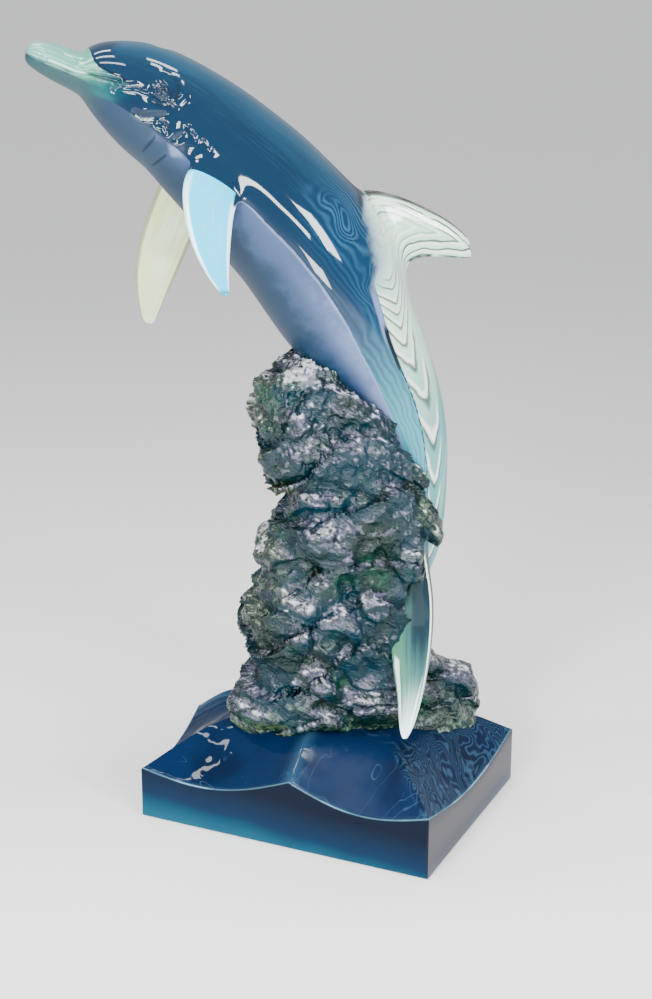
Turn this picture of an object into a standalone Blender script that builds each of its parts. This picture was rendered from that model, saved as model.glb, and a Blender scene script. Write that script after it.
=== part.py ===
"""A leaping dolphin cast in acrylic, carried by a craggy rock on a slab carved like the sea.

Frame: metres, +Z up. The origin is at the middle of the slab's underside, +X runs along the slab's
long side and +Y along its short side. The dolphin's middle plane is upright and turned by HEADING_DEG.
"""
import math

import bmesh
import bpy
from mathutils import Vector, noise

# The slab: DISH_REACH is how far in from its edge the dished top rises before it runs level under the rock
BASE_LENGTH = 0.520
BASE_WIDTH = 0.400
BASE_EDGE_HEIGHT = 0.106
SCALLOP_DEPTH = 0.026
BASE_RISE = 0.056
DISH_REACH = 0.120
BASE_EASE = 0.003

# The dolphin, whose proportions below are shares of its length along the spine
DOLPHIN_LENGTH = 1.130
HEADING_DEG = 36.0
TAIL_BEHIND_MIDDLE = 0.145
TAIL_ABOVE_EDGE = 0.301

# The rock
ROCK_LENGTH = 0.400
ROCK_WIDTH = 0.260
ROCK_SINK = 0.030
LEDGE_DEPTH = 0.020
CRAG_DEPTH = 0.016

# The clearance between castings that meet
FIT_GAP = 0.0003

# Fineness of the solids
BODY_SIDES = 16
ROCK_SIDES = 34
ROCK_LEVELS = 27
BASE_STEPS = 7
SCALLOP_STEPS = {"front": 9, "right": 16, "back": 9, "left": 8}
SMOOTHING = 1
WELD_DISTANCE = 1e-7
CREASE_DEG = 35.0

# Rings of the body from the beak's tip to the notch between the flukes, in shares of the length:
# forward of the tail, above the tail, half height, half width
BODY = [
    (0.543, 0.7535, 0.0090, 0.0100),
    (0.536, 0.7515, 0.0172, 0.0185),
    (0.505, 0.7405, 0.0238, 0.0265),
    (0.478, 0.7275, 0.0245, 0.0320),
    (0.468, 0.7250, 0.0290, 0.0370),
    (0.456, 0.7245, 0.0405, 0.0440),
    (0.432, 0.717, 0.0546, 0.0530),
    (0.400, 0.702, 0.0685, 0.0650),
    (0.369, 0.682, 0.0757, 0.0730),
    (0.338, 0.662, 0.0790, 0.0770),
    (0.310, 0.638, 0.0858, 0.0810),
    (0.279, 0.610, 0.0902, 0.0840),
    (0.239, 0.573, 0.0958, 0.0880),
    (0.204, 0.535, 0.0987, 0.0900),
    (0.172, 0.501, 0.1012, 0.0900),
    (0.147, 0.461, 0.1003, 0.0880),
    (0.126, 0.425, 0.0978, 0.0850),
    (0.105, 0.386, 0.0921, 0.0790),
    (0.072, 0.335, 0.0803, 0.0680),
    (0.043, 0.284, 0.0707, 0.0570),
    (0.022, 0.239, 0.0610, 0.0470),
    (0.008, 0.196, 0.0526, 0.0390),
    (0.000, 0.140, 0.0441, 0.0310),
    (-0.005, 0.081, 0.0370, 0.0250),
    (-0.005, 0.036, 0.0300, 0.0220),
    (0.002, 0.000, 0.0215, 0.0210),
    (0.014, -0.026, 0.0110, 0.0170),
]

# A fin is a row of sections: its front corner and its back corner (each forward, above and left of the
# tail), and its thickness. It grows from one column of the body's faces between two rings.
DORSAL = dict(column=0, rings=(14, 17), sections=[
    ((0.085, 0.566, 0.0), (0.020, 0.462, 0.0), 0.0200),
    ((0.052, 0.562, 0.0), (0.000, 0.468, 0.0), 0.0160),
    ((0.008, 0.545, 0.0), (-0.028, 0.467, 0.0), 0.0130),
    ((-0.036, 0.522, 0.0), (-0.056, 0.464, 0.0), 0.0100),
    ((-0.069, 0.493, 0.0), (-0.074, 0.464, 0.0), 0.0060),
])
LEFT_PECTORAL = dict(column=5, rings=(10, 12), sections=[
    ((0.344, 0.601, 0.081), (0.266, 0.562, 0.083), 0.0300),
    ((0.350, 0.583, 0.092), (0.278, 0.557, 0.095), 0.0240),
    ((0.351, 0.555, 0.101), (0.283, 0.540, 0.104), 0.0190),
    ((0.343, 0.510, 0.119), (0.290, 0.503, 0.120), 0.0150),
    ((0.325, 0.473, 0.139), (0.295, 0.468, 0.140), 0.0100),
    ((0.306, 0.448, 0.150), (0.296, 0.446, 0.150), 0.0060),
])
RIGHT_PECTORAL = dict(column=11, rings=(10, 12), sections=[
    ((0.346, 0.600, -0.080), (0.270, 0.558, -0.082), 0.0300),
    ((0.357, 0.578, -0.089), (0.286, 0.546, -0.092), 0.0240),
    ((0.372, 0.543, -0.096), (0.302, 0.516, -0.099), 0.0190),
    ((0.392, 0.487, -0.106), (0.318, 0.472, -0.108), 0.0150),
    ((0.399, 0.425, -0.119), (0.350, 0.403, -0.121), 0.0110),
    ((0.386, 0.362, -0.134), (0.368, 0.355, -0.136), 0.0060),
])
FLUKE_SECTIONS = [
    ((-0.014, 0.006, 0.030), (0.030, -0.036, 0.032), 0.0200),
    ((-0.016, -0.028, 0.052), (0.050, -0.066, 0.058), 0.0150),
    ((-0.008, -0.079, 0.080), (0.058, -0.105, 0.083), 0.0120),
    ((0.009, -0.134, 0.111), (0.053, -0.146, 0.111), 0.0100),
    ((0.032, -0.188, 0.137), (0.057, -0.190, 0.138), 0.0070),
    ((0.046, -0.205, 0.146), (0.053, -0.205, 0.146), 0.0040),
]
LEFT_FLUKE = dict(column=4, rings=(23, 26), sections=FLUKE_SECTIONS)
RIGHT_FLUKE = dict(column=12, rings=(23, 26), sections=[
    ((a, b, -c), (d, e, -g), t) for (a, b, c), (d, e, g), t in FLUKE_SECTIONS])

# The head's carving, in shares of the length: the mouth's line (forward, above), and the eye's and the
# blowhole's places. Depths and radii are shares too.
MOUTH = [(0.545, 0.752), (0.505, 0.7405), (0.478, 0.7290), (0.456, 0.7245), (0.425, 0.7170)]
MOUTH_DEPTH = 0.0030
MOUTH_RADIUS = 0.0050
EYE = (0.370, 0.705)
EYE_HEIGHT = 0.0045
EYE_RADIUS = 0.0110
BLOWHOLE = (0.362, 0.758)
BLOWHOLE_DEPTH = 0.0035
BLOWHOLE_RADIUS = 0.0090

# How a fin's thickness runs from its front corner to its back corner
CHORD_STEPS = {3: [(0.0, 0.35), (0.5, 1.0), (1.0, 0.20)],
               4: [(0.0, 0.35), (0.3, 1.0), (0.68, 0.75), (1.0, 0.15)]}

# Crests around the slab, anticlockwise from the front left corner: place along the side from -1 to 1,
# height as a share of the edge height
CRESTS = {
    "front": [(-1.0, 0.84), (0.06, 1.12), (1.0, 1.00)],
    "right": [(-1.0, 1.00), (1.0, 0.92)],
    "back": [(-1.0, 0.92), (0.0, 1.10), (1.0, 1.02)],
    "left": [(-1.0, 1.02), (0.0, 1.18), (1.0, 0.84)],
}

# How the slab's top runs in to the rock: the share of a scallop's depth that carries on inward, how
# evenly the rest of it fades, and how late the top turns level
DIP_CARRIED = 0.35
DIP_FADE = 0.8
LEVELLING = 3

# Rings of the rock: height as a share of the way from the edge of the slab to the top, reach ahead of
# the middle and behind it as shares of the rock's length, half width as a share of its width, squareness
ROCK = [
    (0.00, 0.340, 0.600, 0.34, 1.8),
    (0.07, 0.375, 0.640, 0.35, 1.8),
    (0.12, 0.415, 0.640, 0.36, 1.8),
    (0.16, 0.410, 0.610, 0.36, 1.9),
    (0.21, 0.390, 0.560, 0.38, 2.0),
    (0.26, 0.350, 0.440, 0.40, 2.2),
    (0.33, 0.385, 0.330, 0.44, 2.5),
    (0.38, 0.400, 0.305, 0.45, 2.6),
    (0.42, 0.355, 0.300, 0.43, 2.6),
    (0.48, 0.300, 0.340, 0.41, 2.6),
    (0.54, 0.305, 0.395, 0.41, 2.6),
    (0.61, 0.255, 0.415, 0.40, 2.6),
    (0.67, 0.175, 0.410, 0.37, 2.6),
    (0.70, 0.160, 0.385, 0.37, 2.6),
    (0.71, 0.265, 0.365, 0.40, 2.5),
    (0.76, 0.290, 0.320, 0.43, 2.4),
    (0.81, 0.305, 0.270, 0.43, 2.4),
    (0.87, 0.335, 0.210, 0.41, 2.3),
    (0.94, 0.290, 0.055, 0.34, 2.2),
    (0.975, 0.205, 0.000, 0.24, 2.0),
    (1.00, 0.130, -0.030, 0.10, 2.0),
]
ROCK_TOP_RING = 18

# The rock's carving: ledges from floor to top, how they slant and wander around it, and its broken lumps
ROCK_LEDGES = 9.0
LEDGE_SLANT = 0.45
LEDGE_TURN = 1.0
LEDGE_WANDER = 0.8
WANDER_PER_METRE = 6.0
LUMPS_PER_METRE = 13.0
LUMP_SOFTNESS = 0.7
LUMP_FINENESS = 2.0
LUMP_OCTAVES = 3
ROCK_CALM_HEIGHT = 0.12


def clear_scene():
    """Removes whatever the scene holds."""
    for thing in list(bpy.data.objects):
        bpy.data.objects.remove(thing, do_unlink=True)


def material(name, colour, roughness, metallic=0.0, transmission=0.0):
    """A plain Principled material."""
    made = bpy.data.materials.new(name)
    made.use_nodes = True
    shader = made.node_tree.nodes["Principled BSDF"]
    shader.inputs["Base Color"].default_value = (*colour, 1.0)
    shader.inputs["Roughness"].default_value = roughness
    shader.inputs["Metallic"].default_value = metallic
    shader.inputs["Transmission Weight"].default_value = transmission
    made.diffuse_color = (*colour, 1.0)
    return made


def add_object(name, mesh_data, finish=None):
    """Puts a finished bmesh into the scene as an object."""
    mesh = bpy.data.meshes.new(name)
    mesh_data.to_mesh(mesh)
    mesh_data.free()
    thing = bpy.data.objects.new(name, mesh)
    bpy.context.collection.objects.link(thing)
    if finish is not None:
        mesh.materials.append(finish)
    return thing


def skin(rings):
    """A closed skin through rings of equally many points, capped at both ends.

    Its faces carry the numbers of their ring and of their column.
    """
    sides = len(rings[0])
    made = bmesh.new()
    bmesh.ops.create_grid(made, x_segments=sides, y_segments=len(rings) - 1, size=1.0)
    ring_of = made.faces.layers.int.new("ring")
    column_of = made.faces.layers.int.new("column")
    made.verts.ensure_lookup_table()
    for face in made.faces:
        first = min(vert.index for vert in face.verts)
        face[ring_of] = first // (sides + 1)
        face[column_of] = first % (sides + 1)
    for vert in made.verts:
        vert.co = rings[vert.index // (sides + 1)][vert.index % (sides + 1) % sides]
    bmesh.ops.remove_doubles(made, verts=made.verts, dist=WELD_DISTANCE)
    rim = [edge for edge in made.edges if edge.is_boundary]
    caps = bmesh.ops.holes_fill(made, edges=rim, sides=0)["faces"]
    for face in caps:
        face[ring_of] = -1
    bmesh.ops.recalc_face_normals(made, faces=made.faces)
    return made


def read_table(rows, place, column):
    """Reads one column of a table at a place between its rows."""
    for low, high in zip(rows, rows[1:]):
        if place <= high[0]:
            share = (place - low[0]) / (high[0] - low[0])
            return low[column] + (high[column] - low[column]) * max(share, 0.0)
    return rows[-1][column]


def heading():
    """The dolphin's forward and left directions."""
    turn = math.radians(HEADING_DEG)
    return Vector((-math.cos(turn), -math.sin(turn), 0.0)), Vector((math.sin(turn), -math.cos(turn), 0.0))


def dolphin_point(ahead, above, left=0.0):
    """A place given in shares of the dolphin's length, ahead, above and left of its tail."""
    forward, leftward = heading()
    tail = forward * -TAIL_BEHIND_MIDDLE + Vector((0.0, 0.0, BASE_EDGE_HEIGHT + TAIL_ABOVE_EDGE))
    return tail + (forward * ahead + leftward * left + Vector((0.0, 0.0, above))) * DOLPHIN_LENGTH


def body_rings():
    """The rings of the cage around the body, square to the spine.

    Rounding draws a point in to a sixth of each neighbour and four sixths of itself, so the rings are
    swollen by as much as that takes away.
    """
    leftward = heading()[1]
    centres = [dolphin_point(ahead, above) for ahead, above, _, _ in BODY]
    turn = 2.0 * math.pi / BODY_SIDES
    swell = 6.0 / (4.0 + 2.0 * math.cos(turn))
    rings = []
    for number, (_, _, half_height, half_width) in enumerate(BODY):
        before = centres[max(number - 1, 0)]
        after = centres[min(number + 1, len(BODY) - 1)]
        dorsal = leftward.cross((after - before).normalized())
        ring = []
        for side in range(BODY_SIDES):
            angle = (side - 0.5) * turn
            up = math.cos(angle) * half_height * swell * DOLPHIN_LENGTH
            out = math.sin(angle) * half_width * swell * DOLPHIN_LENGTH
            ring.append(centres[number] + dorsal * up + leftward * out)
        rings.append(ring)
    return rings


def grow_fin(body, rings, fin):
    """Extrudes one fin from a column of the body's faces, section by section."""
    ring_of = body.faces.layers.int["ring"]
    column_of = body.faces.layers.int["column"]
    first, last = fin["rings"]
    steps = CHORD_STEPS[last - first + 1]
    faces = [face for face in body.faces
             if face[column_of] == fin["column"] and first <= face[ring_of] < last]
    grid = {}
    for row in range(first, last + 1):
        for side in (0, 1):
            grid[(row - first, side)] = rings[row][(fin["column"] + side) % BODY_SIDES]
    middles = [sum(grid.values(), Vector()) / len(grid)]
    for front, back, _ in fin["sections"]:
        middles.append((dolphin_point(*front) + dolphin_point(*back)) / 2)
    for number, (front, back, thickness) in enumerate(fin["sections"]):
        front_point = dolphin_point(*front)
        chord = dolphin_point(*back) - front_point
        ahead = middles[min(number + 2, len(middles) - 1)]
        normal = chord.cross(ahead - middles[number]).normalized()
        side_before = grid[(0, 1)] - grid[(0, 0)]
        if normal.dot(side_before) < 0.0:
            normal.negate()
        made = bmesh.ops.extrude_face_region(body, geom=faces)
        fresh = [item for item in made["geom"] if isinstance(item, bmesh.types.BMVert)]
        bmesh.ops.delete(body, geom=faces, context="FACES")
        faces = [item for item in made["geom"] if isinstance(item, bmesh.types.BMFace)]
        moved = {}
        for vert in fresh:
            place = min(grid, key=lambda spot: (grid[spot] - vert.co).length_squared)
            share, fullness = steps[place[0]]
            offset = normal * (thickness * DOLPHIN_LENGTH * fullness * (place[1] - 0.5))
            moved[place] = front_point + chord * share + offset
            vert.co = moved[place]
        grid = moved


def dolphin_cage():
    """The dolphin's cage: the body with every fin grown from it."""
    rings = body_rings()
    body = skin(rings)
    for fin in (DORSAL, LEFT_PECTORAL, RIGHT_PECTORAL, LEFT_FLUKE, RIGHT_FLUKE):
        grow_fin(body, rings, fin)
    bmesh.ops.recalc_face_normals(body, faces=body.faces)
    return body


def distance_to_path(spot, path):
    """The distance in a plane from a spot to a path of straight runs."""
    nearest = 1.0
    for start, end in zip(path, path[1:]):
        run = Vector(end) - Vector(start)
        share = (spot - Vector(start)).dot(run) / run.length_squared
        foot = Vector(start) + run * min(max(share, 0.0), 1.0)
        nearest = min(nearest, (spot - foot).length)
    return nearest


def head_relief(ahead, above, left):
    """How far the head's skin stands out at a spot, all in shares of the dolphin's length."""
    spot = Vector((ahead, above))
    mouth = -MOUTH_DEPTH * math.exp(-(distance_to_path(spot, MOUTH) / MOUTH_RADIUS) ** 2)
    eye = 0.0
    if abs(left) > EYE_RADIUS * 2:
        eye = EYE_HEIGHT * math.exp(-((spot - Vector(EYE)).length / EYE_RADIUS) ** 2)
    gap = Vector((*(spot - Vector(BLOWHOLE)), left)).length
    blowhole = -BLOWHOLE_DEPTH * math.exp(-(gap / BLOWHOLE_RADIUS) ** 2)
    return mouth + eye + blowhole


def dolphin_skin():
    """The dolphin's rounded skin, with its mouth, eyes and blowhole carved."""
    cage = add_object("cage", dolphin_cage())
    rounding = cage.modifiers.new("rounding", "SUBSURF")
    rounding.levels = SMOOTHING
    rounding.render_levels = SMOOTHING
    rounded = bmesh.new()
    rounded.from_object(cage, bpy.context.evaluated_depsgraph_get())
    bpy.data.objects.remove(cage, do_unlink=True)
    forward, leftward = heading()
    tail = dolphin_point(0.0, 0.0)
    moves = []
    for vert in rounded.verts:
        offset = (vert.co - tail) / DOLPHIN_LENGTH
        relief = head_relief(offset.dot(forward), offset.z, offset.dot(leftward))
        moves.append(vert.normal * relief * DOLPHIN_LENGTH)
    for vert, move in zip(rounded.verts, moves):
        vert.co += move
    bmesh.ops.triangulate(rounded, faces=rounded.faces)
    return rounded


def perimeter():
    """Places around the slab's edge: each one's spot on a square from -1 to 1, the height of the crests
    beside it as a share of the edge height, and how far down in its scallop it lies, from 0 to 1.
    """
    corners = [(-1.0, -1.0), (1.0, -1.0), (1.0, 1.0), (-1.0, 1.0)]
    places = []
    for number, (side, crests) in enumerate(CRESTS.items()):
        start = Vector(corners[number])
        end = Vector(corners[(number + 1) % len(corners)])
        steps = SCALLOP_STEPS[side]
        for low, high in zip(crests, crests[1:]):
            for step in range(steps):
                share = step / steps
                along = low[0] + (high[0] - low[0]) * share
                crest = low[1] + (high[1] - low[1]) * share
                spot = start + (end - start) * ((along + 1.0) / 2.0)
                places.append((spot, crest, math.sin(math.pi * share)))
    return places


def base_ring(places, shrink, heights):
    """A ring around the slab, drawn in from its edge, with a height at each place."""
    half_length = BASE_LENGTH / 2 - shrink
    half_width = BASE_WIDTH / 2 - shrink
    return [Vector((spot.x * half_length, spot.y * half_width, height))
            for (spot, _, _), height in zip(places, heights)]


def base_top(crest, dip, share):
    """The height of the slab's top, a share of the way in from its edge to the level seat of the rock."""
    inward = math.pi / 2 * share
    left_over = DIP_CARRIED + (1.0 - DIP_CARRIED) * math.cos(inward) ** DIP_FADE
    free = BASE_EDGE_HEIGHT * crest + BASE_RISE * math.sin(inward) - SCALLOP_DEPTH * dip * left_over
    seat = BASE_EDGE_HEIGHT + BASE_RISE
    return free + (seat - free) * share ** LEVELLING


def base_rings():
    """Rings from the slab's underside over its edge to the level seat of the rock."""
    places = perimeter()
    rims = [base_top(crest, dip, 0.0) - BASE_EASE for _, crest, dip in places]
    rings = [base_ring(places, BASE_EASE, [0.0] * len(places)),
             base_ring(places, 0.0, [BASE_EASE] * len(places)),
             base_ring(places, 0.0, rims)]
    for step in range(BASE_STEPS + 1):
        share = step / BASE_STEPS
        heights = [base_top(crest, dip, share) for _, crest, dip in places]
        rings.append(base_ring(places, BASE_EASE + (DISH_REACH - BASE_EASE) * share, heights))
    return rings


def base_skin():
    """The slab's skin, in fixed facets."""
    made = skin(base_rings())
    bmesh.ops.triangulate(made, faces=made.faces)
    return made


def rock_top():
    """The height of the rock's top, where the belly leaves it."""
    ahead, above, _, _ = BODY[ROCK_TOP_RING]
    return dolphin_point(ahead, above).z


def rock_rings():
    """Rings of the rock from under the slab's top to the knob below the belly."""
    forward, leftward = heading()
    foot = BASE_EDGE_HEIGHT
    rise = rock_top() - foot
    rings = []
    for level in range(ROCK_LEVELS + 1):
        share = level / ROCK_LEVELS
        ahead = read_table(ROCK, share, 1) * ROCK_LENGTH
        behind = read_table(ROCK, share, 2) * ROCK_LENGTH
        half_width = read_table(ROCK, share, 3) * ROCK_WIDTH
        power = 2.0 / read_table(ROCK, share, 4)
        middle = forward * ((ahead - behind) / 2)
        half_length = (ahead + behind) / 2
        z = foot - ROCK_SINK + (rise + ROCK_SINK) * share
        ring = []
        for side in range(ROCK_SIDES):
            angle = 2.0 * math.pi * side / ROCK_SIDES
            along = math.copysign(abs(math.cos(angle)) ** power, math.cos(angle)) * half_length
            across = math.copysign(abs(math.sin(angle)) ** power, math.sin(angle)) * half_width
            spot = middle + forward * along + leftward * across + Vector((0.0, 0.0, z))
            out = forward * math.cos(angle) + leftward * math.sin(angle)
            ring.append(spot + out * crag(spot, angle))
        rings.append(ring)
    return rings


def crag(spot, angle):
    """How far the rock stands out at a spot: slanting ledges and broken lumps, calm at its foot."""
    slant = LEDGE_SLANT * math.sin(2.0 * angle + LEDGE_TURN)
    wander = LEDGE_WANDER * noise.noise(spot * WANDER_PER_METRE)
    wave = ROCK_LEDGES * spot.z / rock_top() + slant + wander
    ledge = wave - math.floor(wave)
    lumps = noise.fractal(spot * LUMPS_PER_METRE, LUMP_SOFTNESS, LUMP_FINENESS, LUMP_OCTAVES)
    calm = min(max((spot.z - BASE_EDGE_HEIGHT) / ROCK_CALM_HEIGHT, 0.0), 1.0)
    return (LEDGE_DEPTH * (ledge - 0.5) + CRAG_DEPTH * lumps) * calm


def cutter(name, mesh_data):
    """A hidden copy of a casting, larger by the clearance all round."""
    thing = add_object(name, mesh_data)
    growth = thing.modifiers.new("clearance", "DISPLACE")
    growth.strength = FIT_GAP
    growth.mid_level = 0.0
    thing.hide_render = True
    thing.display_type = "WIRE"
    return thing


def build_wave_base():
    """The slab, its top dished between crests that run in to the rock."""
    finish = material("deep blue clear acrylic", (0.010, 0.060, 0.150), 0.05, transmission=0.6)
    thing = add_object("wave_base", base_skin(), finish)
    thing.data.shade_smooth()
    thing.data.set_sharp_from_angle(angle=math.radians(CREASE_DEG))
    return thing


def build_dolphin():
    """The dolphin in one casting."""
    finish = material("painted and clear acrylic", (0.030, 0.130, 0.230), 0.06)
    thing = add_object("dolphin", dolphin_skin(), finish)
    thing.data.shade_smooth()
    return thing


def build_rock():
    """The rock, seated on the slab and hollowed where the dolphin lies in it."""
    finish = material("dark green clear acrylic", (0.020, 0.100, 0.080), 0.15, transmission=0.4)
    thing = add_object("rock", skin(rock_rings()), finish)
    for other in (cutter("dolphin_seat", dolphin_skin()), cutter("base_seat", base_skin())):
        seat = thing.modifiers.new(other.name, "BOOLEAN")
        seat.operation = "DIFFERENCE"
        seat.solver = "EXACT"
        seat.object = other
    return thing


def main():
    """Builds the three castings."""
    clear_scene()
    build_wave_base()
    build_dolphin()
    build_rock()


main()
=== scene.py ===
import logging
import math
from dataclasses import dataclass
from enum import Enum
from typing import Any, Callable, Sequence, Union

import bmesh
import bpy
import numpy as np
from bmesh.types import BMEdge, BMesh, BMFace, BMVert
from bpy.types import ColorRamp, Material, Mesh, Node, NodeSocket, Object, World
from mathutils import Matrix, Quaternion, Vector, noise


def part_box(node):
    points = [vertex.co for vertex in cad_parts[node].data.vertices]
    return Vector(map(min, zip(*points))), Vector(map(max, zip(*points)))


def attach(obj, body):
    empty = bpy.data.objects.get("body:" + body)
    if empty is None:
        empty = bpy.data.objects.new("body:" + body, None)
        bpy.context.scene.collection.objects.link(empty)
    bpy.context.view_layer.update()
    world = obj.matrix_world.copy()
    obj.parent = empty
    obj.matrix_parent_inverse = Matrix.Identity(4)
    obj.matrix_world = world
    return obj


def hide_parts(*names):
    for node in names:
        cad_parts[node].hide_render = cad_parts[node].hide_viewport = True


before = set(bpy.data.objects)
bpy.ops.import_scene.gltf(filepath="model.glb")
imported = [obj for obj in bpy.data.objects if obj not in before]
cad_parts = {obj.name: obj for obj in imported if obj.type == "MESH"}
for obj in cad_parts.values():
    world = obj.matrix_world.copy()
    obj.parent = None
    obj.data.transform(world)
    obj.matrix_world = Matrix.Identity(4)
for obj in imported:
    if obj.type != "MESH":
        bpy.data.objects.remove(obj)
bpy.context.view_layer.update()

# A leaping dolphin cast in acrylic, carried by a craggy rock on a slab carved like the sea.
# Metres, +Z up, the origin at the middle of the slab's underside, +X along the slab's long side.

LOG = logging.getLogger("dolphin_sculpture")
ROOT = "root"
WELD_DISTANCE = 1e-7
ACRYLIC_IOR = 1.49
# The library's noise vectors take their offsets from the clock until they are seeded
NOISE_SEED = 2

Colour = tuple[float, float, float]
Corner = tuple[float, float, float]
Spot = tuple[float, float]
Line = Sequence[Spot]
Stops = Sequence[tuple[float, Colour]]
Table = tuple[tuple[float, ...], ...]
Section = tuple[Corner, Corner, float]
Rings = list[list[Vector]]


def screen(red: int, green: int, blue: int) -> Colour:
    """Turns a colour on the screen's scale from 0 to 255 into the shader's own scale."""
    return tuple(((part / 255 + 0.055) / 1.055) ** 2.4 if part > 10 else part / 255 / 12.92
                 for part in (red, green, blue))


class Shade:
    """A number that changes over a surface. Arithmetic on it adds Math nodes."""

    def __init__(self, board: "Board", socket: NodeSocket) -> None:
        """Wraps one output socket of a board."""
        self.board = board
        self.socket = socket

    def math(self, operation: str, *values: "Mixable") -> "Shade":
        """Runs one Math node.

        Args:
            operation: the Math node's operation.
            values: its inputs, in order.

        Returns:
            The node's result.
        """
        made = self.board.node("ShaderNodeMath", {"operation": operation}, dict(enumerate(values)))
        return Shade(self.board, made.outputs[0])

    def __add__(self, other: "Mixable") -> "Shade":
        """Adds."""
        return self.math("ADD", self, other)

    __radd__ = __add__

    def __sub__(self, other: "Mixable") -> "Shade":
        """Subtracts."""
        return self.math("SUBTRACT", self, other)

    def __rsub__(self, other: "Mixable") -> "Shade":
        """Subtracts this from the other."""
        return self.math("SUBTRACT", other, self)

    def __mul__(self, other: "Mixable") -> "Shade":
        """Multiplies."""
        return self.math("MULTIPLY", self, other)

    __rmul__ = __mul__

    def __abs__(self) -> "Shade":
        """The number without its sign."""
        return self.math("ABSOLUTE", self)

    def lowest(self, other: "Mixable") -> "Shade":
        """The lower of the two."""
        return self.math("MINIMUM", self, other)

    def highest(self, other: "Mixable") -> "Shade":
        """The higher of the two."""
        return self.math("MAXIMUM", self, other)

    def step(self, low: float, high: float) -> "Shade":
        """Runs smoothly from 0 to 1 as the number goes from low to high.

        Args:
            low: where the result is 0.
            high: where the result is 1, which may be below low.

        Returns:
            The smoothed share.
        """
        limits = {"From Min": min(low, high), "From Max": max(low, high)}
        made = self.board.node("ShaderNodeMapRange", {"interpolation_type": "SMOOTHSTEP"},
                               {"Value": self, **limits})
        share = Shade(self.board, made.outputs[0])
        return 1.0 - share if low > high else share

    def band(self, low: float, high: float, soft: float) -> "Shade":
        """1 between low and high and 0 outside them, with soft edges."""
        return self.step(low - soft, low + soft) * self.step(high + soft, high - soft)

    def lines(self, width: float) -> "Shade":
        """Lines where the number passes a whole one.

        Args:
            width: half a line's width as a share of the way from one line to the next, up to 0.5.

        Returns:
            1 on a line and 0 between lines.
        """
        halfway = 0.5
        gap = abs(self.math("FRACT", self) - halfway)
        return gap.step(halfway - width, halfway)


Mixable = Union[Shade, NodeSocket, float, int, tuple]


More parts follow.
